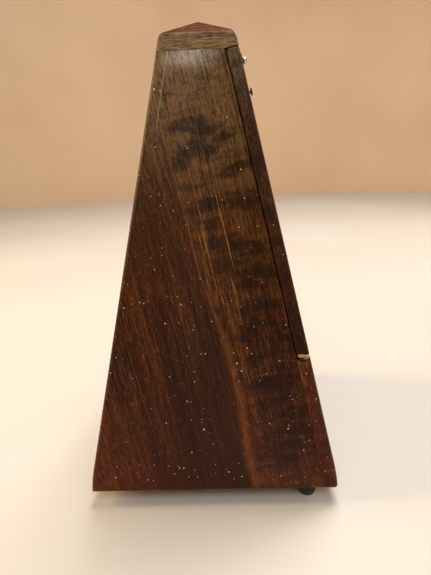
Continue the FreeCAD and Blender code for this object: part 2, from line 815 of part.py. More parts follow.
def gear(teeth, x0, x1, centre, tooth_angle, bore):
    """An involute wheel about X with a tooth centred at tooth_angle."""
    pressure = math.radians(25)
    pitch = module * teeth / 2
    base_r = pitch * math.cos(pressure)
    tip = pitch + 0.8 * module
    root = pitch - 1.05 * module
    half_tooth = math.pi / (2 * teeth) - 0.09 * module / pitch
    inv = math.tan(pressure) - pressure
    flank = []
    start = max(base_r, root)
    for i in range(6):
        r = start + (tip - start) * i / 5
        a = math.acos(min(1.0, base_r / r))
        flank.append((r, half_tooth + inv - (math.tan(a) - a)))
    if root < base_r:
        flank.insert(0, (root, flank[0][1]))
    corners = []
    for k in range(teeth):
        middle = tooth_angle + 2 * math.pi * k / teeth
        for r, a in flank:
            corners.append((r, middle - a))
        for r, a in reversed(flank):
            corners.append((r, middle + a))
    loop = [(centre[0] + r * math.cos(a), centre[1] + r * math.sin(a)) for r, a in corners]
    return slab(loop, x0, x1).cut(rod_x(bore, x0 - 1, x1 + 1, *centre))


def ringed(x_loops, centre):
    """A turning about X through centre, from (radius, x) corners."""
    shapes = []
    for loop in x_loops:
        corners = [FreeCAD.Vector(x, centre[0] + r, centre[1]) for r, x in loop]
        face = Part.Face(Part.makePolygon(corners + corners[:1]))
        origin = FreeCAD.Vector(0, centre[0], centre[1])
        shapes.append(face.revolve(origin, FreeCAD.Vector(1, 0, 0), 360))
    return shapes[0]


# --- movement: plates, pillars, angles -------------------------------------
plate_y0, plate_y1 = -size("plate_front"), size("plate_back")
plate_z0, plate_z1 = size("plate_foot"), size("plate_head")
pillars_at = [
    (plate_y0 + 4, plate_z0 + 4),
    (plate_y1 - 4, plate_z0 + 4),
    (plate_y0 + 4, plate_z0 + 24),
    (plate_y1 - 3, plate_z1 - 3.5),
]
screw_r = size("screw_radius")
head_r = size("screw_head_radius")
head_t = size("screw_head")
rectangle = [(plate_y0, plate_z0), (plate_y1, plate_z0), (plate_y1, plate_z1), (plate_y0, plate_z1)]
angle_bolts_y = (-8.0, 12.0)
angle_bolt_z = 18.5
cock_bolts = []
for v in (front_leaf + cock_t + 2.0, rear_leaf - 1.9):
    for w in (pivot_w - 3.5, pivot_w + 3.5):
        cock_bolts.append(on_face(v, w))


def drilled(x0, x1, holes):
    body = slab(rectangle, x0, x1)
    for y, z, r in holes:
        body = body.cut(rod_x(r, x0 - 1, x1 + 1, y, z))
    return body


corner_holes = [(y, z, screw_r) for y, z in pillars_at]
angle_holes = [(y, angle_bolt_z, screw_r) for y in angle_bolts_y]
inner_holes = corner_holes + angle_holes
inner_holes += [(*barrel_at, 1.2 + fit), (*middle_at, pivot_r + fit)]
inner_holes += [(*escape_at, 0.9 + fit)]
inner_holes += [(y, z, 0.8) for y, z in cock_bolts]
feature("inner_movement_plate", drilled(inner_x0, inner_x1, inner_holes))
click_at = (barrel_at[0] - 13.5, barrel_at[1] + 6.0)
spring_post = (barrel_at[0] - 17.5, barrel_at[1] + 15.0)
outer_holes = corner_holes + angle_holes
outer_holes += [(*barrel_at, wind_r + fit), (*middle_at, pivot_r + fit)]
outer_holes += [(*escape_at, pivot_r + fit), (*click_at, 0.9), (*spring_post, 0.8)]
feature("outer_movement_plate", drilled(outer_x0, outer_x1, outer_holes))

pillars = []
pillar_screws = []
for y, z in pillars_at:
    post = rod_x(size("pillar_radius"), inner_x1, outer_x0, y, z)
    post = post.cut(rod_x(screw_r, inner_x1 - 1, inner_x1 + 4, y, z))
    pillars.append(post.cut(rod_x(screw_r, outer_x0 - 4, outer_x0 + 1, y, z)))
    near = rod_x(screw_r, inner_x0, inner_x1 + 4, y, z)
    near = near.fuse(rod_x(head_r, inner_x0 - head_t, inner_x0, y, z))
    far = rod_x(screw_r, outer_x0 - 4, outer_x1, y, z)
    far = far.fuse(rod_x(head_r, outer_x1, outer_x1 + head_t, y, z))
    pillar_screws += [near.removeSplitter(), far.removeSplitter()]
feature("plate_pillars", Part.makeCompound(pillars))
feature("pillar_screws", Part.makeCompound(pillar_screws))

deck = FOOT + size("base_board")
angle_t = 1.2
angle_rise = 22.0
angle_reach = 8.0
angle_y0, angle_y1 = -12.0, 16.0
angle_screws = []
wood_screws = []
wood_tools = []
angles = []


def mounting_angle(x_face, sign):
    upright = Part.makeBox(
        angle_t, angle_y1 - angle_y0, angle_rise - deck,
        FreeCAD.Vector(min(x_face, x_face + sign * angle_t), angle_y0, deck),
    )
    foot = Part.makeBox(
        angle_reach, angle_y1 - angle_y0, angle_t,
        FreeCAD.Vector(min(x_face, x_face + sign * angle_reach), angle_y0, deck),
    )
    body = upright.fuse(foot).removeSplitter()
    for y in angle_bolts_y:
        tip = x_face - sign * (size("plate_thickness") + 0.8)
        root = x_face + sign * angle_t
        body = body.cut(rod_x(screw_r, min(tip, root) - 0.5, max(tip, root) + 0.5, y, angle_bolt_z))
        shank = rod_x(screw_r, min(tip, root), max(tip, root), y, angle_bolt_z)
        end = root + sign * head_t
        head = rod_x(head_r, min(root, end), max(root, end), y, angle_bolt_z)
        angle_screws.append(shank.fuse(head).removeSplitter())
        x = x_face + sign * 5.0
        body = body.cut(rod_z(1.1, deck - 1, deck + 3, x, y + 2))
        low = rod_z(1.1, deck - 3.5, deck + angle_t, x, y + 2)
        top = rod_z(2.1, deck + angle_t, deck + angle_t + 1.1, x, y + 2)
        wood_screws.append(low.fuse(top).removeSplitter())
        wood_tools.append(rod_z(1.1, deck - 3.5, deck + 1, x, y + 2))
    angles.append(body)


mounting_angle(inner_x0, -1)
mounting_angle(outer_x1, 1)
feature("mounting_angles", Part.makeCompound(angles))
feature("angle_plate_screws", Part.makeCompound(angle_screws))
feature("angle_wood_screws", Part.makeCompound(wood_screws))
carve("base_board", base, wood_tools)

# --- movement: bearings of the pendulum arbor -------------------------------
cock_screws = []


def cock(label, leaf_v, foot_v0, foot_v1, bearing):
    reach = size("cock_reach")
    low, high = pivot_w - 6.0, pivot_w + 6.0
    foot_x0 = inner_x0 - cock_t
    leaf_loop = [(-reach, low), (inner_x0, low), (inner_x0, high), (-reach, high)]
    body = lean_prism(leaf_loop, leaf_v, leaf_v + cock_t)
    foot_loop = [(foot_x0, low), (inner_x0, low), (inner_x0, high), (foot_x0, high)]
    body = body.fuse(lean_prism(foot_loop, foot_v0, foot_v1)).removeSplitter()
    bore = rod_v(bearing + fit, leaf_v - 1, leaf_v + cock_t + 1, 0, pivot_w)
    body = body.cut(bore)
    screw_v = (front_leaf + cock_t + 2.0) if leaf_v < wheel_v else (rear_leaf - 1.9)
    for w in (pivot_w - 3.5, pivot_w + 3.5):
        y, z = on_face(screw_v, w)
        body = body.cut(rod_x(0.8, foot_x0 - 1, inner_x0 + 1, y, z))
        shank = rod_x(0.8, foot_x0, inner_x1, y, z)
        head = rod_x(1.4, foot_x0 - 0.8, foot_x0, y, z)
        cock_screws.append(shank.fuse(head).removeSplitter())
    feature(label, body)


cock("front_cock", front_leaf, front_leaf, front_leaf + cock_t + 3.6, front_r)
cock("rear_cock", rear_leaf, rear_leaf - 3.5, rear_leaf + cock_t, rear_r)
feature("cock_screws", Part.makeCompound(cock_screws))

# --- movement: barrel, mainspring and winding arbor --------------------------
great_x0 = size("great_wheel_x")
great_x1 = great_x0 + size("great_wheel_thickness")
to_middle = angle_to(barrel_at, middle_at)
run = size("arbor_radius") + fit
feature("great_wheel", gear(int(size("great_teeth")), great_x0, great_x1, barrel_at, to_middle, run))
drum_r = size("barrel_radius")
drum_wall = size("barrel_wall")
drum_x1 = great_x1 + size("barrel_length")
drum_side = [
    (run, great_x1),
    (drum_r, great_x1),
    (drum_r, drum_x1),
    (drum_r - drum_wall, drum_x1),
    (drum_r - drum_wall, great_x1 + drum_wall),
    (run, great_x1 + drum_wall),
]
feature("barrel_drum", ringed([drum_side], barrel_at))
lid_x0 = drum_x1 - drum_wall
lid = rod_x(drum_r - drum_wall, lid_x0, drum_x1, *barrel_at)
feature("barrel_lid", lid.cut(rod_x(run, lid_x0 - 1, drum_x1 + 1, *barrel_at)))

core_r = size("core_radius")
spring_x0 = great_x1 + drum_wall + 0.8
spring_x1 = lid_x0 - 0.8
strip = size("spring_thickness")
coil_in = core_r + 0.25
coil_out = drum_r - drum_wall - strip
turns = int(size("spring_turns"))
steps = turns * 24
inside = []
outside = []
for i in range(steps + 1):
    a = 2 * math.pi * turns * i / steps
    r = coil_in + (coil_out - coil_in) * i / steps
    for line, radius in ((inside, r), (outside, r + strip)):
        line.append((barrel_at[0] + radius * math.cos(a), barrel_at[1] + radius * math.sin(a)))
spiral = slab(inside + outside[::-1], spring_x0, spring_x1)
feature("mainspring", spiral)

arbor_x0 = inner_x0 - 0.6
arbor_run_x0 = inner_x1 + 0.5
arbor_run_x1 = outer_x0 - 0.4
key_end = size("key_shank_end_x")
arbor_side = [
    (0, arbor_x0),
    (1.2, arbor_x0),
    (1.2, arbor_run_x0),
    (size("arbor_radius"), arbor_run_x0),
    (size("arbor_radius"), great_x1 + drum_wall + 0.3),
    (core_r, great_x1 + drum_wall + 0.3),
    (core_r, lid_x0 - 0.3),
    (size("arbor_radius"), lid_x0 - 0.3),
    (size("arbor_radius"), arbor_run_x1),
    (wind_r, arbor_run_x1),
    (wind_r, key_end - 3),
    (0, key_end - 3),
]
feature("winding_arbor", ringed([arbor_side], barrel_at))

ratchet_x0 = size("ratchet_x")
ratchet_x1 = ratchet_x0 + size("wheel_thickness")
count = int(size("ratchet_teeth"))
tip_r = size("ratchet_radius")
root_r = tip_r - size("ratchet_depth")
nose_angle = math.radians(122)
ratchet_loop = []
pitch = 2 * math.pi / count
for k in range(count):
    a = nose_angle + k * pitch - math.radians(3)
    for r, at in ((root_r, a), (tip_r, a + 0.8 * pitch), (tip_r, a + 0.9 * pitch)):
        ratchet_loop.append((barrel_at[0] + r * math.cos(at), barrel_at[1] + r * math.sin(at)))
ratchet = slab(ratchet_loop, ratchet_x0, ratchet_x1)
feature("ratchet_wheel", ratchet.cut(rod_x(wind_r, ratchet_x0 - 1, ratchet_x1 + 1, *barrel_at)))

key_x0 = size("key_start_x")
shank_r = size("key_shank_radius")
key = rod_x(shank_r, key_x0, key_end, *barrel_at)
wing_half = size("key_wing_span") / 2
wing_x = size("key_wing_x")
wing_t = size("key_wing") / 2
wing_side = [
    (key_end - 4, -shank_r * 0.8),
    (key_end, -wing_half * 0.75),
    (key_end + 4, -wing_half),
    (wing_x - 2.5, -wing_half * 0.94),
    (wing_x, -wing_half * 0.55),
    (wing_x - 1.5, 0),
    (wing_x, wing_half * 0.55),
    (wing_x - 2.5, wing_half * 0.94),
    (key_end + 4, wing_half),
    (key_end, wing_half * 0.75),
    (key_end - 4, shank_r * 0.8),
]
corners = [FreeCAD.Vector(x, barrel_at[0] + y, barrel_at[1] - wing_t) for x, y in wing_side]
wing = Part.Face(Part.makePolygon(corners + corners[:1])).extrude(FreeCAD.Vector(0, 0, 2 * wing_t))
key = key.fuse(wing).removeSplitter()
feature("winding_key", key.cut(rod_x(wind_r, key_x0 - 1, key_end - 3, *barrel_at)))

bush_x0 = half_at(barrel_at[1] + size("key_hole_radius")) - side - 0.6
bush_x1 = half_at(barrel_at[1] - size("key_hole_radius")) + 0.4
bush = rod_x(size("key_hole_radius"), bush_x0, bush_x1, *barrel_at)
feature("key_hole_bush", bush.cut(rod_x(size("bush_bore_radius"), bush_x0 - 1, bush_x1 + 1, *barrel_at)))

# --- movement: middle and escape arbors ---------------------------------------
middle_x0 = size("middle_wheel_x")
middle_x1 = middle_x0 + size("wheel_thickness")


def arbor(label, centre, left, right, left_r, right_r):
    """A stepped arbor whose shoulders stand just inside the two plates."""
    in_x, out_x = inner_x1 + 0.4, outer_x0 - 0.4
    body = rod_x(arbor_r, in_x, out_x, *centre)
    body = body.fuse(rod_x(left_r, left, in_x + 1, *centre))
    body = body.fuse(rod_x(right_r, out_x - 1, right, *centre))
    feature(label, body.removeSplitter())


pinion = int(size("pinion_teeth"))
arbor("middle_arbor", middle_at, inner_x0 - 0.5, outer_x1 + 0.5, pivot_r, pivot_r)
facing = to_middle + math.pi + math.pi / pinion
feature("middle_pinion", gear(pinion, great_x0 - 0.3, great_x1 + 0.3, middle_at, facing, arbor_r))
to_escape = angle_to(middle_at, escape_at)
middle_wheel = gear(int(size("middle_teeth")), middle_x0, middle_x1, middle_at, to_escape, arbor_r)
for k in range(4):
    a = to_escape + math.pi / 4 + k * math.pi / 2
    y = middle_at[0] + 7.6 * math.cos(a)
    z = middle_at[1] + 7.6 * math.sin(a)
    middle_wheel = middle_wheel.cut(rod_x(4.0, middle_x0 - 1, middle_x1 + 1, y, z))
feature("middle_wheel", middle_wheel)

face_x = size("crown_face_x")
tooth_x = face_x + size("crown_tooth")
web_x0 = tooth_x + 1.0
web_x1 = web_x0 + 1.0
arbor("escape_arbor", escape_at, web_x0 - 0.4, outer_x1 + 0.5, 0.9, pivot_r)
facing = to_escape + math.pi + math.pi / pinion
feature("escape_pinion", gear(pinion, middle_x0 - 0.3, middle_x1 + 0.3, escape_at, facing, arbor_r))
crown_r = size("crown_radius")
rim_r = crown_r - size("crown_rim")
crown_side = [
    (0.9, web_x0),
    (rim_r, web_x0),
    (rim_r, tooth_x),
    (crown_r, tooth_x),
    (crown_r, web_x1),
    (2.2, web_x1),
    (2.2, web_x1 + 0.8),
    (0.9, web_x1 + 0.8),
]
crown = ringed([crown_side], escape_at)
teeth = []
crown_count = int(size("crown_teeth"))
pitch_arc = 2 * math.pi * crown_r / crown_count
for k in range(crown_count):
    a = 2 * math.pi * k / crown_count + 0.2
    radial = FreeCAD.Vector(0, math.cos(a), math.sin(a))
    tangent = FreeCAD.Vector(0, -math.sin(a), math.cos(a))
    middle = FreeCAD.Vector(0, escape_at[0], escape_at[1])
    corner = middle + radial * (rim_r + 0.15)
    low = FreeCAD.Vector(tooth_x + 0.3, 0, 0)
    high = FreeCAD.Vector(face_x, 0, 0)
    points = [
        corner + tangent * (-pitch_arc * 0.38) + low,
        corner + tangent * (pitch_arc * 0.1) + low,
        corner + tangent * (pitch_arc * 0.1) + high,
        corner + tangent * (pitch_arc * 0.02) + high,
    ]
    face = Part.Face(Part.makePolygon(points + points[:1]))
    teeth.append(face.extrude(radial * (size("crown_rim") - 0.4)))
crown = crown.fuse(teeth).removeSplitter()
feature("crown_wheel", crown)

# --- movement: click -----------------------------------------------------------
nose_r = tip_r + 0.25
nose = (
    barrel_at[0] + nose_r * math.cos(nose_angle),
    barrel_at[1] + nose_r * math.sin(nose_angle),
)
click_loop = [
    nose,
    (nose[0] - 1.3, nose[1] - 0.1),
    (click_at[0], click_at[1] - 2.0),
    (click_at[0] - 1.9, click_at[1]),
    (click_at[0], click_at[1] + 2.0),
    (nose[0] - 0.4, nose[1] + 1.6),
]
click = slab(click_loop, ratchet_x0, ratchet_x1)
feature("ratchet_click", click.cut(rod_x(1.2 + fit, ratchet_x0 - 1, ratchet_x1 + 1, *click_at)))
post = rod_x(0.9, outer_x0, outer_x1, *click_at)
post = post.fuse(rod_x(1.2, outer_x1, ratchet_x1 + 0.2, *click_at))
post = post.fuse(rod_x(2.1, ratchet_x1 + 0.2, ratchet_x1 + 1.2, *click_at))
feature("click_screw", post.removeSplitter())
blade = slab(
    [
        (spring_post[0] + 2.0, spring_post[1] + 1.8),
        (spring_post[0] - 2.0, spring_post[1] + 1.8),
        (spring_post[0] - 2.0, spring_post[1] - 2.0),
        (spring_post[0] + 1.4, spring_post[1] - 2.0),
        (nose[0] - 3.4, nose[1] + 2.35),
        (nose[0] - 2.9, nose[1] + 2.7),
    ],
    outer_x1,
    outer_x1 + 1.4,
)
feature("click_spring", blade.cut(rod_x(0.8, outer_x0, outer_x1 + 5, *spring_post)))
post = rod_x(0.8, outer_x0, outer_x1 + 1.4, *spring_post)
post = post.fuse(rod_x(1.6, outer_x1 + 1.4, outer_x1 + 2.4, *spring_post))
feature("click_spring_screw", post.removeSplitter())

# --- check and write --------------------------------------------------------
doc.recompute()
os.makedirs("parts", exist_ok=True)
for obj in doc.Objects:
    if "Invalid" in obj.State or "Error" in obj.State:
        raise RuntimeError(f"{obj.Label}: {obj.State}")
for obj in NODES:
    shape = obj.Shape
    if not shape.isValid() or not shape.Solids or shape.Volume <= 0:
        raise RuntimeError(f"{obj.Label}: shape is not valid")
    shape.exportStep(f"parts/{obj.Label}.step")
print(len(NODES), "nodes written")
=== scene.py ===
import math
import bmesh
import bpy
from mathutils import Matrix, Vector


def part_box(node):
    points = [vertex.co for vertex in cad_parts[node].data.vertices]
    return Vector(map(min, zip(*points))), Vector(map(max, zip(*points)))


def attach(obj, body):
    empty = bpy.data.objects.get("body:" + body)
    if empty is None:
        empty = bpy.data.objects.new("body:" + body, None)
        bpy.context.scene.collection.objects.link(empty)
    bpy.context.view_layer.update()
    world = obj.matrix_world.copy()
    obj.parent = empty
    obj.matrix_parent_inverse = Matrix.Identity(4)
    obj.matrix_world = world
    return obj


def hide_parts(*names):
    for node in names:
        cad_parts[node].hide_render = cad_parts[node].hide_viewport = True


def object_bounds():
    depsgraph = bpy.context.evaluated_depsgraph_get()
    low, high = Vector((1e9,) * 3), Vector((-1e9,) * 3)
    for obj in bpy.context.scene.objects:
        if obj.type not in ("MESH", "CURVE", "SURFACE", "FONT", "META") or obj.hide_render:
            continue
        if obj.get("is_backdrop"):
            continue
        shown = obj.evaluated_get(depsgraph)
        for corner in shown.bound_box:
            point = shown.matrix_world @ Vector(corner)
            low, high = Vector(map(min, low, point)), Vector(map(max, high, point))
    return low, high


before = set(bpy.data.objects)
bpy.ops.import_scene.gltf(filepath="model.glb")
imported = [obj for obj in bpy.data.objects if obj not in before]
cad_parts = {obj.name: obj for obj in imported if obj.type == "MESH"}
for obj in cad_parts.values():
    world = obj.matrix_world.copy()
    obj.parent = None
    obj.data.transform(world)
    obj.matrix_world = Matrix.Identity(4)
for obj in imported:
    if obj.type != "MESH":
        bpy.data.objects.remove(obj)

cad_low, cad_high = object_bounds()

# ---------------------------------------------------------------- the case
# Lengths are millimetres until MM turns them into the metres of the scene.
MM = 0.001


def box(node):
    low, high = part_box(node)
    return low / MM, high / MM


board_low, board_high = box("left_side_board")
FOOT = board_low.z
HALF = -board_low.x
SEAM = board_high.z
APEX = box("top_cap")[1].z
BOARD = 5.5
TAN = (HALF - (-board_high.x + BOARD)) / (SEAM - FOOT)
EAVE = 205.35
LEAN = math.atan(TAN)
SIN, COS = math.sin(LEAN), math.cos(LEAN)
FRONT = 6.2
COVER_FOOT = 63.28
COVER_HEAD = 196.6
# the slits above and below the cover, and behind it
COVER_GAP = 0.4
SEAT_GAP = 0.45
# the boards ease inwards by CURVE_IN over their lowest CURVE_TOP
CURVE_TOP = 11.0
CURVE_IN = 0.8


def half(z):
    """Half the case's width at height z, eased in a little above the floor edge."""
    ease = CURVE_IN * max(0.0, (FOOT + CURVE_TOP - z) / CURVE_TOP) ** 2
    return HALF - TAN * (z - FOOT) - ease


def face(x, v, w):
    """A point x across, v inwards from the sloping front face and w up it."""
    return Vector((x, -HALF + w * SIN + v * COS, FOOT + w * COS - v * SIN))


# ---------------------------------------------------------------- nodes
class Shade:
    """A small builder for one node material."""

    def __init__(self, name):
        self.mat = bpy.data.materials.new(name)
        self.mat.use_nodes = True
        self.tree = self.mat.node_tree
        self.bsdf = self.tree.nodes["Principled BSDF"]
        self.coord = self.tree.nodes.new("ShaderNodeTexCoord")
        self.at = self.coord.outputs["Object"]

    def node(self, kind, **values):
        made = self.tree.nodes.new("ShaderNode" + kind)
        for key, value in values.items():
            setattr(made, key, value)
        return made

    def put(self, socket, value):
        if isinstance(value, bpy.types.NodeSocket):
            self.tree.links.new(value, socket)
        else:
            socket.default_value = value

    def math(self, operation, a, b=0.0, c=0.0, clamp=False):
        made = self.node("Math", operation=operation, use_clamp=clamp)
        for socket, value in zip(made.inputs, (a, b, c)):
            self.put(socket, value)
        return made.outputs[0]

    def frame(self, source, scale, turn=(0, 0, 0), shift=(0, 0, 0)):
        made = self.node("Mapping", vector_type="TEXTURE")
        self.put(made.inputs["Vector"], source)
        made.inputs["Location"].default_value = shift
        made.inputs["Rotation"].default_value = turn
        made.inputs["Scale"].default_value = scale
        return made.outputs[0]

    def noise(self, vector, scale=1.0, detail=3.0, rough=0.5, distort=0.0):
        made = self.node("TexNoise")
        self.put(made.inputs["Vector"], vector)
        made.inputs["Scale"].default_value = scale
        made.inputs["Detail"].default_value = detail
        made.inputs["Roughness"].default_value = rough
        made.inputs["Distortion"].default_value = distort
        return made.outputs["Fac"]

    def range(self, value, low, high, to_low=0.0, to_high=1.0, smooth=True):
        made = self.node("MapRange")
        made.interpolation_type = "SMOOTHSTEP" if smooth else "LINEAR"
        for socket, given in zip(made.inputs, (value, low, high, to_low, to_high)):
            self.put(socket, given)
        return made.outputs[0]

    def mix(self, factor, a, b, blend="MIX"):
        made = self.node("Mix", data_type="RGBA", blend_type=blend)
        self.put(made.inputs["Factor"], factor)
        sockets = [s for s in made.inputs if s.type == "RGBA"]
        for socket, value in zip(sockets, (a, b)):
            if not isinstance(value, bpy.types.NodeSocket):
                value = (*value[:3], 1.0)
            self.put(socket, value)
        return [s for s in made.outputs if s.type == "RGBA"][0]

    def split(self, vector):
        made = self.node("SeparateXYZ")
        self.put(made.inputs[0], vector)
        return made.outputs

    def join(self, x, y, z):
        made = self.node("CombineXYZ")
        for socket, value in zip(made.inputs, (x, y, z)):
            self.put(socket, value)
        return made.outputs[0]

    def edge(self, radius):
        """0 on open faces, rising to 1 on an edge within radius mm."""
        bevel = self.node("Bevel", samples=6)
        bevel.inputs["Radius"].default_value = radius * MM
        geometry = self.node("NewGeometry")
        dot = self.node("VectorMath", operation="DOT_PRODUCT")
        self.put(dot.inputs[0], bevel.outputs[0])
        self.put(dot.inputs[1], geometry.outputs["Normal"])
        return self.range(dot.outputs["Value"], 0.995, 0.90)

    def bump(self, height, strength, distance, normal=None):
        made = self.node("Bump")
        made.inputs["Strength"].default_value = strength
        made.inputs["Distance"].default_value = distance * MM
        self.put(made.inputs["Height"], height)
        if normal is not None:
            self.put(made.inputs["Normal"], normal)
        return made.outputs[0]

    def finish(self, colour, rough, normal=None, **constants):
        self.put(self.bsdf.inputs["Base Color"], colour)
        self.put(self.bsdf.inputs["Roughness"], rough)
        if normal is not None:
            self.put(self.bsdf.inputs["Normal"], normal)
        for key, value in constants.items():
            self.bsdf.inputs[key.replace("_", " ")].default_value = value
        return self.mat


def srgb(r, g, b):
    def one(v):
        v /= 255
        return v / 12.92 if v <= 0.04045 else ((v + 0.055) / 1.055) ** 2.4

    return (one(r), one(g), one(b), 1.0)


# ---------------------------------------------------------------- wood
DARK = srgb(34, 13, 4)
MID = srgb(92, 48, 16)
LIGHT = srgb(150, 98, 42)
AMBER = srgb(168, 104, 44)
# painted reflection: the red cast that the floor's reflection gives the lowest part of the boards
FLOOR_REFLECTION_RED = srgb(96, 40, 20)


def fibre(s, turn, width, length, detail=3.0, rough=0.6, shift=(0, 0, 0)):
    """Noise drawn out along the grain; width and length in mm."""
    return s.noise(s.frame(s.at, (width * MM, width * MM, length * MM), turn, shift), 1.0, detail, rough)


def wood(
    name, turn, shift=(0, 0, 0), figure=1.0, tone=1.0, rough=0.34, coat=0.12, side=False, red=0.0,
    painted_light_band=(0.125, 0.195), dirt=1.0, shine=0.12, chipped=False,
):
    """Stained, lacquered wood whose grain runs along the turned frame's Z."""
    s = Shade(name)
    fine = fibre(s, turn, 0.34, 5.5, 3.0, 0.65, shift)
    strands = fibre(s, turn, 1.3, 34.0, 3.0, 0.55, shift)
    rings = s.noise(s.frame(s.at, (0.0105, 0.0105, 0.20), turn, shift), 1.0, 3.0, 0.55, 0.5)
    mottle = s.noise(s.frame(s.at, (0.0009, 0.0009, 0.0022), turn, shift), 1.0, 3.0, 0.7)
    body = s.math("ADD", s.math("MULTIPLY", fine, 0.50), s.math("MULTIPLY", strands, 0.26))
    body = s.math("ADD", body, s.math("MULTIPLY", rings, 0.24))
    body = s.math("ADD", body, s.math("MULTIPLY", s.math("SUBTRACT", mottle, 0.5), 0.30))
    colour = s.mix(s.range(body, 0.40, 0.58), DARK, MID)
    colour = s.mix(s.range(body, 0.50, 0.68, 0.0, 0.85), colour, LIGHT)
    height = s.split(s.at)[2]
    if painted_light_band:
        # painted sheen and reflection: the wood is painted paler and greener near the top for the sheen of
        # the light above on the lacquer, and painted redder near the floor for the floor's reflection
        # painted sheen: share of the pale, greener sheen colour, rising with height
        upper = s.range(height, *painted_light_band, 0.0, 0.70)
        pale = s.mix(s.range(body, 0.38, 0.60), srgb(66, 48, 28), srgb(168, 142, 98))
        colour = s.mix(upper, colour, pale)
        # painted reflection: redder over the lowest 75 mm
        colour = s.mix(s.range(height, 0.075, 0.008, 0.0, 0.40), colour, FLOOR_REFLECTION_RED)
    pores = s.range(fibre(s, turn, 0.22, 2.4, 2.0, 0.6, shift), 0.55, 0.68)
    if side:
        colour = side_figure(s, colour, fine)
    else:
        bars = s.noise(s.frame(s.at, (0.017, 0.017, 0.006), turn, shift), 1.0, 2.0, 0.6, 0.4)
        colour = s.mix(s.range(bars, 0.48, 0.66, 0.0, 0.6 * figure), colour, DARK)
        lines = fibre(s, turn, 1.1, 60.0, 1.0, 0.4, shift)
        colour = s.mix(s.range(lines, 0.67, 0.76, 0.0, 0.5 * figure), colour, AMBER)
    colour = s.mix(s.math("MULTIPLY", pores, 0.72), colour, srgb(24, 10, 4))
    if red:
        colour = s.mix(red, colour, srgb(62, 18, 8))
    # painted light: the colour is scaled by tone, and tinted warmer and darker below 115 mm than above 160
    # mm, where the cool sheen falls
    painted_light_tint = s.mix(
        s.range(height, 0.160, 0.115), (tone, tone, tone), (tone * 0.96, tone * 0.80, tone * 0.62),
    )
    colour = s.mix(1.0, colour, painted_light_tint, "MULTIPLY")
    # paler amber in patches on the rounded edges: partly wear, partly a painted highlight of the light
    # catching the edges
    rim = s.edge(1.1)
    patch = s.noise(s.at, 260.0, 3.0, 0.6)
    worn_and_lit_edges = s.math("MULTIPLY", rim, s.range(patch, 0.48, 0.68, 0.0, 0.7))
    colour = s.mix(worn_and_lit_edges, colour, srgb(140, 86, 40))
    if chipped:
        colour = nick(s, colour)
    # dust caught in the lacquer, denser towards the floor
    dust = 0.0
    for scale, size, most in ((190.0, 0.082, 0.62), (420.0, 0.125, 0.75)):
        speck = s.node("TexVoronoi", feature="F1", voronoi_dimensions="3D")
        s.put(speck.inputs["Vector"], s.at)
        speck.inputs["Scale"].default_value = scale
        pick = s.split(speck.outputs["Color"])
        radius = s.math("MULTIPLY", s.math("ADD", s.math("MULTIPLY", pick[2], 0.7), 0.3), size)
        near = s.math("LESS_THAN", speck.outputs["Distance"], radius)
        share = s.range(height, 0.205, 0.0, 0.10 * dirt, most * dirt, smooth=False)
        chosen = s.math("MULTIPLY", near, s.math("LESS_THAN", pick[0], share))
        dust = s.math("MAXIMUM", dust, s.math("MULTIPLY", chosen, s.range(pick[1], 0.0, 1.0, 0.45, 1.0)))
    colour = s.mix(dust, colour, srgb(232, 224, 210))
    haze = s.noise(s.at, 42.0, 3.0, 0.6)
    gloss = s.math("ADD", rough, s.math("MULTIPLY", s.math("SUBTRACT", haze, 0.5), 0.22))
    gloss = s.math("ADD", gloss, s.math("MULTIPLY", fine, 0.12))
    gloss = s.math("ADD", gloss, s.math("MULTIPLY", dust, 0.3), clamp=True)
    normal = s.bump(s.math("SUBTRACT", fine, pores), 0.32, 0.10)
    normal = s.bump(mottle, 0.12, 0.12, normal)
    swell = s.noise(s.frame(s.at, (0.012, 0.012, 0.05), turn), 1.0, 2.0, 0.5)
    normal = s.bump(swell, 0.2, 0.5, normal)
    return s.finish(colour, gloss, normal, Coat_Weight=coat, Coat_Roughness=0.5, Specular_IOR_Level=shine)


# dark cross-grain ripples on the near side: (y, z, half width, half height) in mm
RIPPLES = (
    (1, 172, 5, 4), (9, 168, 6, 3), (-3, 167, 6, 2),
    (3, 158, 10, 3), (-9, 162, 7, 2.5), (9, 153, 7, 2.5), (-9, 149, 9, 2.5), (-19, 152, 5, 2.5),
    (5, 143, 7, 2), (-6, 135.5, 15, 3.5), (-21, 138, 7, 3), (1, 127, 8, 2.5),
    (-6, 120, 11, 3), (-18, 116, 10, 5), (-10, 110, 8, 4), (-24, 107, 8, 4), (-17, 101, 9, 3),
    (-25, 93, 7, 2.5), (-23, 84, 8, 3), (-15, 78, 6, 2), (-36, 78, 6, 5),
    (-28, 58, 12, 5), (-20, 68, 6, 2), (-38, 44, 9, 2.2), (-30, 49, 9, 1.8), (-35, 32, 13, 5),
    (-28, 22, 11, 3),
)


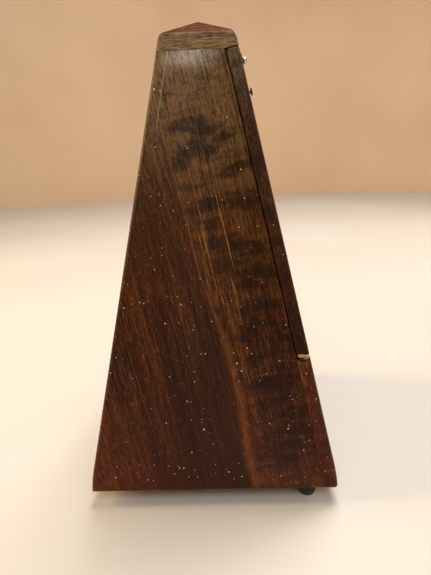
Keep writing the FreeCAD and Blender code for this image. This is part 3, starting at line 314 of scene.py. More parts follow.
def side_figure(s, colour, fine):
    """The near side's own figure: one long pale streak, ripples in front of it, thin amber lines."""
    y, z = s.split(s.at)[1:3]
    # how far ahead of the pale streak, which crosses from the top rear to the lower front
    lean = 0.2215
    foot_y, foot_z = -0.0183, 0.0103
    streak = s.math("ADD", s.math("MULTIPLY", z, lean), foot_y - foot_z * lean)
    sag = s.math("MULTIPLY", s.range(z, 0.018, 0.060), s.range(z, 0.112, 0.070, 0.0, 0.0030))
    across = s.math("SUBTRACT", s.math("SUBTRACT", streak, sag), y)
    ahead = s.range(across, -0.0004, 0.0012)
    behind = s.math("SUBTRACT", 1.0, ahead)
    upper = s.range(z, 0.080, 0.120)
    golden = s.math("MULTIPLY", s.math("MULTIPLY", ahead, upper), s.range(fine, 0.36, 0.60, 0.05, 0.50))
    colour = s.mix(golden, colour, srgb(128, 90, 42))
    dusk = s.math(
        "MULTIPLY", behind, s.math("MULTIPLY", s.range(z, 0.120, 0.060), s.range(y, 0.036, 0.004)),
    )
    colour = s.mix(s.math("MULTIPLY", dusk, 0.62), colour, DARK)
    brown = s.math("MULTIPLY", behind, s.math("MULTIPLY", upper, s.range(z, 0.172, 0.150, 0.10, 0.40)))
    colour = s.mix(brown, colour, srgb(66, 40, 20))
    # ripples
    wobble = s.node("TexNoise")
    s.put(wobble.inputs["Vector"], s.at)
    wobble.inputs["Scale"].default_value = 130.0
    wobble.inputs["Detail"].default_value = 4.0
    moved = s.node("VectorMath", operation="MULTIPLY_ADD")
    s.put(moved.inputs[0], wobble.outputs["Color"])
    moved.inputs[1].default_value = (0.0, 0.014, 0.0070)
    s.put(moved.inputs[2], s.at)
    spread = 0.0
    for ry, rz, wide, high in RIPPLES:
        place = s.frame(
            moved.outputs[0], (1.0, wide * MM, high * MM), (-0.12, 0, 0),
            (0, (ry + 7.0) * MM, (rz + 3.5) * MM),
        )
        flat = s.node("VectorMath", operation="MULTIPLY")
        s.put(flat.inputs[0], place)
        flat.inputs[1].default_value = (0, 1, 1)
        length = s.node("VectorMath", operation="LENGTH")
        s.put(length.inputs[0], flat.outputs[0])
        spread = s.math("ADD", spread, s.range(length.outputs["Value"], 1.5, 0.45), clamp=True)
    bars = s.noise(s.frame(s.at, (0.030, 0.013, 0.0042), (-0.12, 0, 0)), 1.0, 3.0, 0.65, 0.6)
    spread = s.math("MULTIPLY", spread, s.range(bars, 0.34, 0.56, 0.45, 1.0))
    spread = s.math("ADD", spread, s.range(bars, 0.50, 0.66, 0.0, 0.65), clamp=True)
    ripple = s.math("MULTIPLY", spread, ahead)
    ripple = s.math("MULTIPLY", ripple, s.range(fine, 0.32, 0.66, 1.0, 0.6))
    colour = s.mix(s.math("MULTIPLY", ripple, 0.96), colour, srgb(26, 11, 4))
    warm = s.math("MULTIPLY", s.range(bars, 0.46, 0.32), ahead)
    warm = s.math("MULTIPLY", warm, s.range(fine, 0.40, 0.66, 0.05, 0.6))
    colour = s.mix(warm, colour, srgb(146, 92, 36))
    # the pale streak: a thin line above, a broader band below
    width = s.range(z, 0.105, 0.060, 0.0006, 0.0024)
    core = s.math(
        "DIVIDE", s.math("ABSOLUTE", s.math("SUBTRACT", across, s.math("MULTIPLY", width, 0.5))), width,
    )
    core = s.range(core, 1.4, 0.0, 0.0, 0.38)
    core = s.math("MULTIPLY", core, s.range(fine, 0.30, 0.58, 0.4, 1.0))
    colour = s.mix(core, colour, srgb(160, 102, 42))
    # a few long amber lines ahead of the streak
    lines = fibre(s, (-0.20, LEAN, 0), 0.62, 40.0, 0.0, 0.5, (0, 0.0043, 0.013))
    lines = s.math("MULTIPLY", s.range(lines, 0.66, 0.72), s.range(fine, 0.34, 0.54, 0.15, 0.8))
    keep = s.math("MULTIPLY", s.range(across, 0.001, 0.003), s.range(across, 0.021, 0.016))
    keep = s.math("MULTIPLY", keep, s.math("MULTIPLY", s.range(z, 0.086, 0.100), s.range(z, 0.162, 0.150)))
    colour = s.mix(s.math("MULTIPLY", lines, keep), colour, srgb(186, 128, 60))
    # a small amber knot on the rear part
    knot = s.node("VectorMath", operation="DISTANCE")
    s.put(knot.inputs[0], s.join(0.0, y, s.math("MULTIPLY", z, 0.6)))
    knot.inputs[1].default_value = (0.0, 0.0189, 0.141 * 0.6)
    colour = s.mix(s.range(knot.outputs["Value"], 0.0024, 0.0008, 0.0, 0.6), colour, DARK)
    colour = s.mix(s.range(knot.outputs["Value"], 0.0010, 0.0003, 0.0, 0.7), colour, srgb(150, 84, 30))
    # a pale curved scratch near the rear edge, down from the cap's seam
    rear = s.math("SUBTRACT", s.math("MULTIPLY", s.math("SUBTRACT", z, FOOT * MM), -TAN), y)
    rear = s.math("ADD", rear, HALF * MM)
    bow = s.math(
        "MULTIPLY", s.math("POWER", s.math("SUBTRACT", s.math("MULTIPLY", z, 10.0), 1.86), 2.0), 0.012,
    )
    scratch = s.math("ABSOLUTE", s.math("SUBTRACT", s.math("SUBTRACT", rear, bow), 0.0052))
    scratch = s.math("MULTIPLY", s.range(scratch, 0.00030, 0.00008), s.range(z, 0.163, 0.176, 0.0, 0.5))
    return s.mix(scratch, colour, srgb(186, 178, 158))


def nick(s, colour):
    """Worn wood at the joint under the cover's foot, at the near corner: a dark slot under a pale chip."""
    for y, z, wide, high, strength, tint in (
        (-42.4, 68.9, 2.9, 0.95, 0.85, srgb(196, 160, 120)), (-41.3, 67.0, 2.6, 0.62, 1.0, srgb(10, 6, 4)),
        (-44.6, 69.0, 1.1, 0.8, 0.8, srgb(222, 206, 180)),
    ):
        place = s.frame(s.at, (16 * MM, wide * MM, high * MM), (0.15, 0, 0), (-46 * MM, y * MM, z * MM))
        length = s.node("VectorMath", operation="LENGTH")
        s.put(length.inputs[0], place)
        colour = s.mix(s.range(length.outputs["Value"], 1.1, 0.75, 0.0, strength), colour, tint)
    return colour


def raw_wood(name):
    s = Shade(name)
    grain = s.noise(s.frame(s.at, (0.0007, 0.03, 0.0007)), 1.0, 4.0, 0.6)
    rings = s.noise(s.frame(s.at, (0.009, 0.2, 0.009)), 1.0, 3.0, 0.5, 0.5)
    tone = s.math("ADD", s.math("MULTIPLY", grain, 0.5), s.math("MULTIPLY", rings, 0.5))
    colour = s.mix(s.range(tone, 0.32, 0.68), srgb(118, 82, 48), srgb(176, 136, 88))
    rough = s.math("ADD", 0.62, s.math("MULTIPLY", grain, 0.2))
    return s.finish(colour, rough, s.bump(grain, 0.4, 0.15))


# ---------------------------------------------------------------- metals
def metal(name, bright, dull, rough, brush=None, tarnish=0.35, scale=300.0):
    s = Shade(name)
    cloud = s.noise(s.at, scale, 4.0, 0.6)
    spots = s.range(s.noise(s.at, scale * 4, 2.0, 0.5), 0.60, 0.74, 0.0, tarnish)
    colour = s.mix(s.range(cloud, 0.35, 0.70, 0.0, tarnish), bright, dull)
    colour = s.mix(spots, colour, dull)
    rim = s.edge(0.35)
    colour = s.mix(s.math("MULTIPLY", rim, 0.5), colour, bright)
    lines = s.noise(s.frame(s.at, brush or (0.0002, 0.004, 0.004)), 1.0, 2.0, 0.6)
    gloss = s.math("ADD", rough, s.math("MULTIPLY", cloud, 0.18))
    gloss = s.math("ADD", gloss, s.math("MULTIPLY", s.math("SUBTRACT", lines, 0.5), 0.16), clamp=True)
    return s.finish(colour, gloss, s.bump(lines, 0.12, 0.02), Metallic=1.0)


def rubber(name):
    s = Shade(name)
    grit = s.noise(s.at, 1500.0, 3.0, 0.6)
    dust = s.range(s.noise(s.at, 220.0, 3.0, 0.6), 0.50, 0.75, 0.0, 0.35)
    low = s.range(s.split(s.at)[2], 0.004, 0.0, 0.0, 0.35)
    colour = s.mix(s.math("MAXIMUM", dust, low), srgb(22, 21, 21), srgb(84, 78, 72))
    return s.finish(colour, s.math("ADD", 0.55, s.math("MULTIPLY", grit, 0.2)), s.bump(grit, 0.3, 0.06))


def enamel(name):
    s = Shade(name)
    age = s.noise(s.at, 60.0, 4.0, 0.6)
    fox = s.range(s.noise(s.at, 700.0, 2.0, 0.5), 0.66, 0.76, 0.0, 0.35)
    colour = s.mix(s.range(age, 0.3, 0.75), srgb(226, 214, 178), srgb(200, 180, 136))
    colour = s.mix(fox, colour, srgb(150, 116, 70))
    colour = s.mix(s.math("MULTIPLY", s.edge(0.6), 0.5), colour, srgb(120, 88, 48))
    return s.finish(colour, s.math("ADD", 0.38, s.math("MULTIPLY", age, 0.2)), s.bump(age, 0.1, 0.03))


def ink(name):
    s = Shade(name)
    wear = s.noise(s.at, 2600.0, 3.0, 0.6)
    colour = s.mix(s.range(wear, 0.55, 0.75, 0.0, 0.5), srgb(24, 20, 18), srgb(92, 80, 62))
    return s.finish(colour, s.math("ADD", 0.45, s.math("MULTIPLY", wear, 0.2)))


GRAIN = math.radians(12.3)
side_wood = wood("side_wood", (-GRAIN, LEAN, 0), side=True, tone=0.86, shift=(0.01, 0.0, 0.0))
right_wood = wood(
    "right_wood", (-GRAIN * 0.5, -LEAN, 0), shift=(0.4, 0.03, 0.02), figure=0.55, painted_light_band=(0.09, 0.235),
)
back_wood = wood("back_wood", (LEAN, 0.03, 0), shift=(0.1, 0.7, 0.05), figure=0.45, painted_light_band=(0.09, 0.235))
front_wood = wood(
    "front_wood", (-LEAN, -0.05, 0), shift=(0.2, 0.2, 0.31), red=0.25, tone=1.05, rough=0.34, chipped=True,
)
cover_wood = wood(
    "cover_wood", (-LEAN, 0.04, 0), shift=(0.3, 0.1, 0.12), red=0.15, tone=0.60, rough=0.36,
    painted_light_band=(0.165, 0.200), chipped=True,
)
cap_wood = wood("cap_wood", (math.pi / 2, 0, 0), shift=(0.05, 0.02, 0.5), figure=0.25, tone=1.0, rough=0.42)
cap_front_wood = wood(
    "cap_front_wood", (0, math.pi / 2, 0), shift=(0.5, 0.02, 0.1), figure=0.25, tone=1.0, rough=0.42,
)
# painted light: the roof is the cap's own wood, made brighter (tone 1.5) and redder (red 0.30) for the
# light falling on its slopes
roof_lit_wood = wood(
    "roof_lit_wood", (math.pi / 2, 0, 0), shift=(0.2, 0.3, 0.3), figure=0.2, tone=1.5, red=0.30, painted_light_band=None,
    rough=0.6, coat=0.0, shine=0.02,
)
inner_wood = wood(
    "inner_wood", (0, 0, 0), shift=(0.6, 0.2, 0.1), figure=0.5, tone=0.6, rough=0.45, coat=0.2, painted_light_band=None,
    dirt=0.2,
)
plain_wood = raw_wood("plain_wood")
brass = metal("brass", srgb(214, 172, 92), srgb(128, 88, 38), 0.24)
old_brass = metal("old_brass", srgb(190, 152, 84), srgb(110, 80, 42), 0.30, tarnish=0.42, scale=140.0)
steel = metal("steel", srgb(188, 188, 190), srgb(112, 108, 104), 0.28)
dark_steel = metal("dark_steel", srgb(74, 70, 66), srgb(30, 27, 26), 0.34, tarnish=0.6)
blued = metal("blued_steel", srgb(70, 78, 104), srgb(34, 36, 50), 0.25)
nickel = metal("nickel", srgb(206, 200, 188), srgb(138, 124, 104), 0.20, tarnish=0.4)
black_rubber = rubber("black_rubber")
plate_enamel = enamel("scale_enamel")
plate_ink = ink("scale_ink")


# ---------------------------------------------------------------- meshes
def make(
    name, verts, faces, material, body, stands_for=(), smooth=False, bevel=0.0, weights=None,
    segments=3,
):
    mesh = bpy.data.meshes.new(name)
    mesh.from_pydata([Vector(v) * MM for v in verts], [], faces)
    work = bmesh.new()
    work.from_mesh(mesh)
    bmesh.ops.recalc_face_normals(work, faces=work.faces)
    if weights:
        layer = work.edges.layers.float.new("bevel_weight_edge")
        for edge in work.edges:
            edge[layer] = weights(*[v.co / MM for v in edge.verts])
    work.to_mesh(mesh)
    work.free()
    obj = bpy.data.objects.new(name, mesh)
    bpy.context.collection.objects.link(obj)
    mesh.materials.append(material)
    if smooth or bevel:
        for polygon in mesh.polygons:
            polygon.use_smooth = True
    if bevel:
        made = obj.modifiers.new("round", "BEVEL")
        made.width = bevel * MM
        made.segments = segments
        made.limit_method = "WEIGHT" if weights else "ANGLE"
        made.angle_limit = math.radians(25)
        made.harden_normals = True
        made.use_clamp_overlap = True
    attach(obj, body)
    if stands_for:
        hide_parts(*stands_for)
    return obj


def tube_of_levels(levels):
    """Verts and quads of a closed column through loops of equal length."""
    verts = [p for loop in levels for p in loop]
    count = len(levels[0])
    faces = []
    for k in range(len(levels) - 1):
        for i in range(count):
            j = (i + 1) % count
            faces.append((k * count + i, k * count + j, (k + 1) * count + j, (k + 1) * count + i))
    faces.append(tuple(range(count)))
    faces.append(tuple(range((len(levels) - 1) * count, len(levels) * count)))
    return verts, faces


LEVELS = [
    FOOT, FOOT + 2.5, FOOT + 5, FOOT + 8, FOOT + CURVE_TOP, 30, 45, 60,
    80, 100, 120, 140, 160, 175, 188, SEAM,
]


def side(name, node, sign, material):
    """A side board; its front edge stops behind the front boards."""
    depth = FRONT / COS
    levels = []
    for z in LEVELS:
        x = half(z)
        flat = HALF - TAN * (z - FOOT)
        levels.append(
            [
                (sign * x, -flat + depth, z),
                (sign * x, x, z),
                (sign * (flat - BOARD), x, z),
                (sign * (flat - BOARD), -flat + depth, z),
            ]
        )
    verts, faces = tube_of_levels(levels)

    def weights(a, b):
        on_rear = a.y > half(a.z) - 0.5 and b.y > half(b.z) - 0.5
        outer = abs(a.x) > half(a.z) - 0.5 and abs(b.x) > half(b.z) - 0.5
        upright = abs(a.z - b.z) > 1
        if upright and on_rear and outer:
            return 1.0
        if not upright and outer and a.z < FOOT + 1:
            return 0.7
        return 0.0

    return make(
        name, verts, faces, material, "case", [node], bevel=1.9, weights=weights, segments=4,
    )


side("near_side_board", "left_side_board", -1, side_wood)
side("far_side_board", "right_side_board", 1, right_wood)


def back():
    levels = []
    for z in LEVELS:
        y = half(z) - 0.12
        flat = HALF - TAN * (z - FOOT)
        x = flat - BOARD
        levels.append([(-x, flat - 5.0, z), (x, flat - 5.0, z), (x, y, z), (-x, y, z)])
    verts, faces = tube_of_levels(levels)
    return make("rear_board", verts, faces, back_wood, "case", ["back_board"], bevel=0.4)


back()


def lower_front():
    levels = []
    top = (COVER_FOOT - COVER_GAP) * COS + FOOT
    rows = LEVELS[:8]
    for z in rows:
        flat = HALF - TAN * (z - FOOT)
        x, y = half(z), half(z)
        levels.append([(-x, -y, z), (x, -y, z), (x, -flat + FRONT / COS, z), (-x, -flat + FRONT / COS, z)])
    w = COVER_FOOT - COVER_GAP
    front_top, rear_top = face(0, 0, w), face(0, FRONT, w)
    xf, xr = half(front_top.z), half(rear_top.z)
    levels.append(
        [
            (-xf, front_top.y, front_top.z),
            (xf, front_top.y, front_top.z),
            (xr, rear_top.y, rear_top.z),
            (-xr, rear_top.y, rear_top.z),
        ]
    )
    verts, faces = tube_of_levels(levels)

    def weights(a, b):
        upright = abs(a.z - b.z) > 1.6
        front = a.y < -half(a.z) + 0.5 and b.y < -half(b.z) + 0.5
        outer = abs(abs(a.x) - half(a.z)) < 0.5 and abs(abs(b.x) - half(b.z)) < 0.5 and a.x * b.x > 0
        if upright and front and outer:
            return 1.0
        if max(a.z, b.z) < FOOT + 1 and (front or outer):
            return 0.7
        if min(a.z, b.z) > top - 3 and front:
            return 0.35
        return 0.0

    return make(
        "lower_front", verts, faces, front_wood, "case", ["lower_front_board"], bevel=1.8,
        weights=weights, segments=4,
    )


lower_front()


# ---------------------------------------------------------------- cover
def cover():
    """The removable cover: a skin with a hollow behind it for the pendulum."""
    seat = FRONT - SEAT_GAP
    rows = [COVER_FOOT, 75, 90, 110, 130, 150, 170, 185, COVER_HEAD]
    rail, foot_rail, head_rail, skin = 3.2, 4.0, 5.0, 1.8
    low, high = COVER_FOOT + foot_rail, COVER_HEAD - head_rail
    work = bmesh.new()

    def point(x, v, w):
        return work.verts.new(face(x, v, w))

    def width(v, w):
        return HALF - TAN * (face(0, v, w).z - FOOT)

    front, rear = [], []
    for w in rows:
        front.append([point(-width(0, w), 0, w), point(width(0, w), 0, w)])
        rear.append([point(-width(seat, w), seat, w), point(width(seat, w), seat, w)])
    for i in range(len(rows) - 1):
        work.faces.new((front[i][0], front[i][1], front[i + 1][1], front[i + 1][0]))
        work.faces.new((front[i][0], front[i + 1][0], rear[i + 1][0], rear[i][0]))
        work.faces.new((front[i][1], rear[i][1], rear[i + 1][1], front[i + 1][1]))
    work.faces.new((front[0][0], rear[0][0], rear[0][1], front[0][1]))
    work.faces.new((front[-1][0], front[-1][1], rear[-1][1], rear[-1][0]))
    hollow_low = [point(s * (HALF - low * SIN - rail), seat, low) for s in (-1, 1)]
    hollow_high = [point(s * (HALF - high * SIN - rail), seat, high) for s in (-1, 1)]
    floor_low = [point(s * (HALF - low * SIN - rail), skin, low) for s in (-1, 1)]
    floor_high = [point(s * (HALF - high * SIN - rail), skin, high) for s in (-1, 1)]
    left_edge = [r[0] for r in rear]
    right_edge = [r[1] for r in rear]
    work.faces.new(left_edge + [hollow_high[0], hollow_low[0]])
    work.faces.new(right_edge[::-1] + [hollow_low[1], hollow_high[1]])
    work.faces.new((left_edge[0], hollow_low[0], hollow_low[1], right_edge[0]))
    work.faces.new((left_edge[-1], right_edge[-1], hollow_high[1], hollow_high[0]))
    work.faces.new((hollow_low[0], floor_low[0], floor_low[1], hollow_low[1]))
    work.faces.new((hollow_high[0], hollow_high[1], floor_high[1], floor_high[0]))
    work.faces.new((hollow_low[0], hollow_high[0], floor_high[0], floor_low[0]))
    work.faces.new((hollow_low[1], floor_low[1], floor_high[1], hollow_high[1]))
    work.faces.new((floor_low[0], floor_high[0], floor_high[1], floor_low[1]))
    bmesh.ops.recalc_face_normals(work, faces=work.faces)
    verts = [tuple(v.co) for v in work.verts]
    work.verts.index_update()
    faces = [tuple(v.index for v in f.verts) for f in work.faces]
    work.free()
    along = Vector((0, SIN, COS))
    origin = face(0, 0, 0)

    def weights(a, b):
        wa, wb = (a - origin).dot(along), (b - origin).dot(along)
        va, vb = (a - origin).dot(Vector((0, COS, -SIN))), (b - origin).dot(Vector((0, COS, -SIN)))
        outer = all(abs(abs(p.x) - (HALF - TAN * (p.z - FOOT))) < 0.3 for p in (a, b)) and a.x * b.x > 0
        upright = abs(wa - wb) > 1
        if upright and outer and max(va, vb) < 0.3:
            return 0.85
        if upright and outer and min(va, vb) > seat - 0.3:
            return 0.35
        if outer and not upright and abs(va - vb) > 3:
            return 0.35
        if not upright and max(wa, wb) > COVER_HEAD - 0.3:
            return 0.55 if max(va, vb) < 0.3 else 0.9
        if not upright and min(wa, wb) < COVER_FOOT + 0.3 and max(wa, wb) < COVER_FOOT + 0.3:
            return 0.3 if max(va, vb) < 0.3 else 0.9
        return 0.06

    return make(
        "cover_leaf", verts, faces, cover_wood, "cover", ["cover_panel", "cover_rails"],
        bevel=1.7, weights=weights, segments=4,
    )


cover()


# ---------------------------------------------------------------- cap
def top_cap():
    """Upright band and low pyramid in one block, undercut square to the face above the cover."""
    slit = COVER_HEAD + COVER_GAP
    lip, heel = face(0, 0, slit), face(0, FRONT, slit)

    def wide(z):
        return HALF - TAN * (z - FOOT)

    low, high = wide(SEAM), wide(EAVE)
    verts = [
        (-low, low, SEAM), (low, low, SEAM),
        (wide(heel.z), heel.y, heel.z), (wide(lip.z), lip.y, lip.z),
        (-wide(lip.z), lip.y, lip.z), (-wide(heel.z), heel.y, heel.z),
        (-high, high, EAVE), (high, high, EAVE), (high, -high, EAVE), (-high, -high, EAVE),
        (0, 0, APEX),
    ]
    band = [(0, 1, 2, 5), (5, 2, 3, 4), (0, 6, 7, 1), (1, 7, 8, 3, 2), (3, 8, 9, 4), (4, 9, 6, 0, 5)]
    roof = [(6, 10, 7), (7, 10, 8), (8, 10, 9), (9, 10, 6)]

    def weights(a, b):
        if max(a.z, b.z) > APEX - 0.1:
            return 0.22
        if min(a.z, b.z) > EAVE - 0.1:
            if a.y < 0 and b.y < 0:
                return 1.0
            return 0.55 if a.y > 0 and b.y > 0 else 0.36
        if abs(a.z - b.z) > 3:
            return 0.5
        return 0.06

    obj = make(
        "cap_block", verts, band + roof, cap_wood, "case", ["top_cap"], bevel=3.0,
        weights=weights, segments=5,
    )
    obj.data.materials.append(roof_lit_wood)
    obj.data.materials.append(cap_front_wood)
    for polygon in obj.data.polygons:
        if all(obj.data.vertices[i].co.z > (EAVE - 0.1) * MM for i in polygon.vertices):
            polygon.material_index = 1
        elif abs(polygon.normal.y) > 0.7:
            polygon.material_index = 2
    return obj


top_cap()


# ---------------------------------------------------------------- turned parts
def lathe(name, profile, matrix, material, body, stands_for=(), turns=48, bevel=0.0):
    """A turning from (radius, height) points, closed on its axis where radius is 0."""
    verts, faces = [], []
    rings = []
    for r, h in profile:
        if r < 1e-6:
            rings.append([len(verts)])
            verts.append(matrix @ Vector((0, 0, h)))
            continue
        rings.append(list(range(len(verts), len(verts) + turns)))
        for i in range(turns):
            a = 2 * math.pi * i / turns
            verts.append(matrix @ Vector((r * math.cos(a), r * math.sin(a), h)))
    pairs = list(zip(rings, rings[1:]))
    if profile[0][0] > 1e-6:
        pairs.append((rings[-1], rings[0]))
    for a, b in pairs:
        for i in range(turns):
            j = (i + 1) % turns
            if len(a) == 1 and len(b) == 1:
                break
            if len(a) == 1:
                faces.append((a[0], b[i], b[j]))
            elif len(b) == 1:
                faces.append((a[i], a[j], b[0]))
            else:
                faces.append((a[i], a[j], b[j], b[i]))
    made = make(name, verts, faces, material, body, stands_for, bevel=bevel, smooth=True, segments=2)
    if not bevel:
        for polygon in made.data.polygons:
            polygon.use_smooth = True
        made.modifiers.new("split", "EDGE_SPLIT").split_angle = math.radians(40)
    return made


def round_profile(points, radius, steps=4):
    """The same profile with each inner corner rounded."""
    out = [points[0]]
    for before, here, after in zip(points, points[1:], points[2:]):
        a, p, c = Vector(before), Vector(here), Vector(after)
        u, v = (a - p), (c - p)
        r = min(radius, u.length * 0.45, v.length * 0.45)
        start, end = p + u.normalized() * r, p + v.normalized() * r
        for i in range(steps + 1):
            t = i / steps
            q = start * (1 - t) ** 2 + p * 2 * t * (1 - t) + end * t**2
            out.append((q.x, q.y))
    out.append(points[-1])
    return out


def frame_at(x, v, w):
    """A frame on the front face whose Z points out of it."""
    out = Vector((0, -COS, SIN))
    up = Vector((0, SIN, COS))
    across = up.cross(out)
    turn = Matrix((across, up, out)).transposed().to_4x4()
    return Matrix.Translation(face(x, v, w)) @ turn


def frame_x(x, y, z):
    return Matrix.Translation((x, y, z)) @ Matrix.Rotation(math.pi / 2, 4, "Y")


for node, label in (
    ("front_left_foot", "foot_near"), ("front_right_foot", "foot_far"), ("rear_foot", "foot_rear"),
):
    low, high = box(node)
    x, y = (low.x + high.x) / 2, (low.y + high.y) / 2
    profile = [
        (1.3, 3.0), (2.8, 3.0), (2.8, 0.3), (3.1, 0.0), (3.85, 0.0), (4.35, 1.6), (4.5, 3.6), (4.45, 6.2),
        (4.1, FOOT), (1.3, FOOT),
    ]
    lathe(
        label, round_profile(profile, 0.5), Matrix.Translation((x, y, 0)), black_rubber, "case",
        [node],
    )

# knob: a ball on a short neck with a small collar
KNOB_W = COVER_HEAD - 2.8
knob = [(0.7, -3.4), (0.72, 0.0), (1.25, 0.02), (1.3, 0.25), (0.75, 0.5), (0.62, 1.15)]
for i in range(9):
    a = math.radians(-62 + i * 152 / 8)
    knob.append((1.5 * math.cos(a), 2.6 + 1.5 * math.sin(a)))
knob = [(0.0, -3.4)] + knob[:-1] + [(0.0, 4.1)]
lathe("cover_knob_ball", knob, frame_at(0, 0, KNOB_W), nickel, "cover", ["cover_knob"], turns=32)
stud_profile = [
    (0, -1.3), (0.6, -1.3), (0.6, 2.3), (1.3, 2.42), (1.7, 2.6), (1.75, 2.85), (1.6, 3.08), (1.0, 3.2),
    (0, 3.2),
]
lathe(
    "cover_stud_head", stud_profile, frame_at(0, 0, COVER_HEAD - 16.3), dark_steel, "cover",
    ["cover_stud"], turns=32,
)


# spring catch: a curled strip whose tapered end stands over the knob's neck
def catch():
    top = COVER_HEAD + COVER_GAP
    line = [
        (top + 2.55, 0.25), (top + 1.2, 0.25), (top + 0.35, 0.55), (top - 0.2, 1.25), (top - 0.7, 1.52),
        (COVER_HEAD - 1.1, 1.5), (COVER_HEAD - 1.75, 1.2), (COVER_HEAD - 2.0, 0.95),
    ]
    smooth_line = []
    for i in range(len(line) - 1):
        a, b = Vector(line[i]), Vector(line[i + 1])
        before = Vector(line[max(i - 1, 0)])
        after = Vector(line[min(i + 2, len(line) - 1)])
        for k in range(4):
            t = k / 4
            bend = 2 * before - 5 * a + 4 * b - after
            twist = 3 * a - before - 3 * b + after
            smooth_line.append(0.5 * ((2 * a) + (b - before) * t + bend * t * t + twist * t**3))
    smooth_line.append(Vector(line[-1]))
    verts, faces = [], []
    count = len(smooth_line)
    for i, p in enumerate(smooth_line):
        ahead = smooth_line[min(i + 1, count - 1)] - smooth_line[max(i - 1, 0)]
        normal = Vector((-ahead.y, ahead.x)).normalized() * 0.22
        taper = 1.0 if i < count - 6 else 1.0 - 0.08 * (i - count + 6)
        for s in (-1, 1):
            for n in (-1, 1):
                q = p + normal * n
                verts.append(face(s * 1.55 * taper, -q.y, q.x))
    for i in range(count - 1):
        a, b = i * 4, (i + 1) * 4
        for m, n in ((0, 1), (1, 3), (3, 2), (2, 0)):
            faces.append((a + m, a + n, b + n, b + m))
    faces.append((0, 1, 3, 2))
    e = (count - 1) * 4
    faces.append((e, e + 2, e + 3, e + 1))
    return make(
        "catch_strip", verts, faces, dark_steel, "case", ["cover_catch"], bevel=0.12, segments=2,
    )


catch()
screw_profile = [(0, -2.5), (0.5, -2.5), (0.5, 0.5), (0.9, 0.5), (0.86, 0.75), (0.55, 0.95), (0, 1.0)]
lathe(
    "catch_screw_head", screw_profile, frame_at(0, 0, COVER_HEAD + 2.1), dark_steel, "case",
    ["catch_screw"], turns=24,
)

# ---------------------------------------------------------------- winding key
def grow(name, loops, material, body, stands_for=(), bevel=0.0):
    """A skin through loops of equal length."""
    verts, faces = tube_of_levels(loops)
    return make(name, verts, faces, material, body, stands_for, smooth=True, bevel=bevel, segments=3)


def winding_key():
    low, high = box("winding_key")
    y, z = (low.y + high.y) / 2, (low.z + high.z) / 2
    shank = [
        (0, low.x), (2.2, low.x), (2.7, low.x + 0.5), (2.7, 60.2), (2.45, 60.8), (2.45, 61.4), (2.1, 62.4),
        (1.4, 63.4), (0, 63.6),
    ]
    lathe("key_shank", shank, frame_x(0, y, z), nickel, "winding", ["winding_key"], turns=40)
    # the two-lobed wing: one bow-shaped plate with rounded edges
    count = 64
    loops = []
    span, x0, x1 = (high.y - low.y) / 2, 60.5, high.x
    mid, tall = (x0 + x1) / 2, (x1 - x0) / 2
    outline = []
    for i in range(count):
        a = 2 * math.pi * i / count
        pinch = 1 - 0.34 * math.exp(-((math.cos(a) / 0.36) ** 2))
        outline.append((mid + tall * math.sin(a) * pinch, span * math.cos(a)))
    t = (high.z - low.z) / 2
    t = min(t, 1.1)
    for h, k in ((-1.0, 0.90), (-0.85, 0.97), (-0.4, 1.0), (0.4, 1.0), (0.85, 0.97), (1.0, 0.90)):
        loops.append([(mid + (x - mid) * k, y + w * k, z + t * h) for x, w in outline])
    grow("key_wing", loops, nickel, "winding", bevel=0.0)


winding_key()


# ---------------------------------------------------------------- pendulum bob and weight
def bob():
    w = 23.5
    profile = [
        (0, 0), (8.6, 0), (9.6, 0.25), (10.3, 1.0), (10.5, 2.0), (10.5, 8.0), (10.3, 9.0), (9.6, 9.75),
        (8.6, 10.0), (7.4, 9.85), (7.1, 9.6), (6.8, 9.85), (0, 10.0),
    ]
    base = Matrix.Translation(face(0, 23.2, w)) @ frame_at(0, 0, 0).to_3x3().to_4x4()
    lathe(
        "bob_disc", profile, base, old_brass, "pendulum", ["pendulum_bob"],
        turns=72,
    )


bob()


def tempo_weight():
    """The sliding weight: a tapered block, wider at its top, with a slot through it for the rod."""
    v0, v1, w0, w1 = 2.4, 6.0, 112.0, 124.0
    half_low, half_high = 6.5, 8.0
    rows = [(w0, half_low - 0.7), (w0 + 0.35, half_low - 0.2), (w0 + 0.9, half_low)]
    rows += [(w1 - 0.9, half_high - 0.12), (w1 - 0.35, half_high - 0.3), (w1, half_high - 0.8)]
    loops = []
    for i, (w, h) in enumerate(rows):
        ease = 0.35 if i in (0, len(rows) - 1) else 0.0
        a, b = v0 + ease, v1 - ease
        loop = []
        for x, v in (
            (-h + 0.5, a), (h - 0.5, a), (h - 0.12, a + 0.14), (h, a + 0.5), (h, b - 0.5),
            (h - 0.12, b - 0.14), (h - 0.5, b), (2.0, b), (1.75, b - 0.15), (1.7, 4.75), (1.7, 3.6),
            (-1.7, 3.6), (-1.7, 4.75), (-1.75, b - 0.15), (-2.0, b), (-h + 0.5, b), (-h + 0.12, b - 0.14),
            (-h, b - 0.5), (-h, a + 0.5), (-h + 0.12, a + 0.14),
        ):
            loop.append(face(x, v, w))
        loops.append(loop)
    verts = [p for loop in loops for p in loop]
    n = len(loops[0])
    faces = [
        (k * n + i, k * n + (i + 1) % n, (k + 1) * n + (i + 1) % n, (k + 1) * n + i)
        for k in range(len(loops) - 1)
        for i in range(n)
    ]
    faces += [tuple(range(n)), tuple(range((len(loops) - 1) * n, len(loops) * n))]
    made = make(
        "weight_block", verts, faces, old_brass, "tempo_weight", ["sliding_weight"], smooth=True,
    )
    made.modifiers.new("split", "EDGE_SPLIT").split_angle = math.radians(35)


tempo_weight()


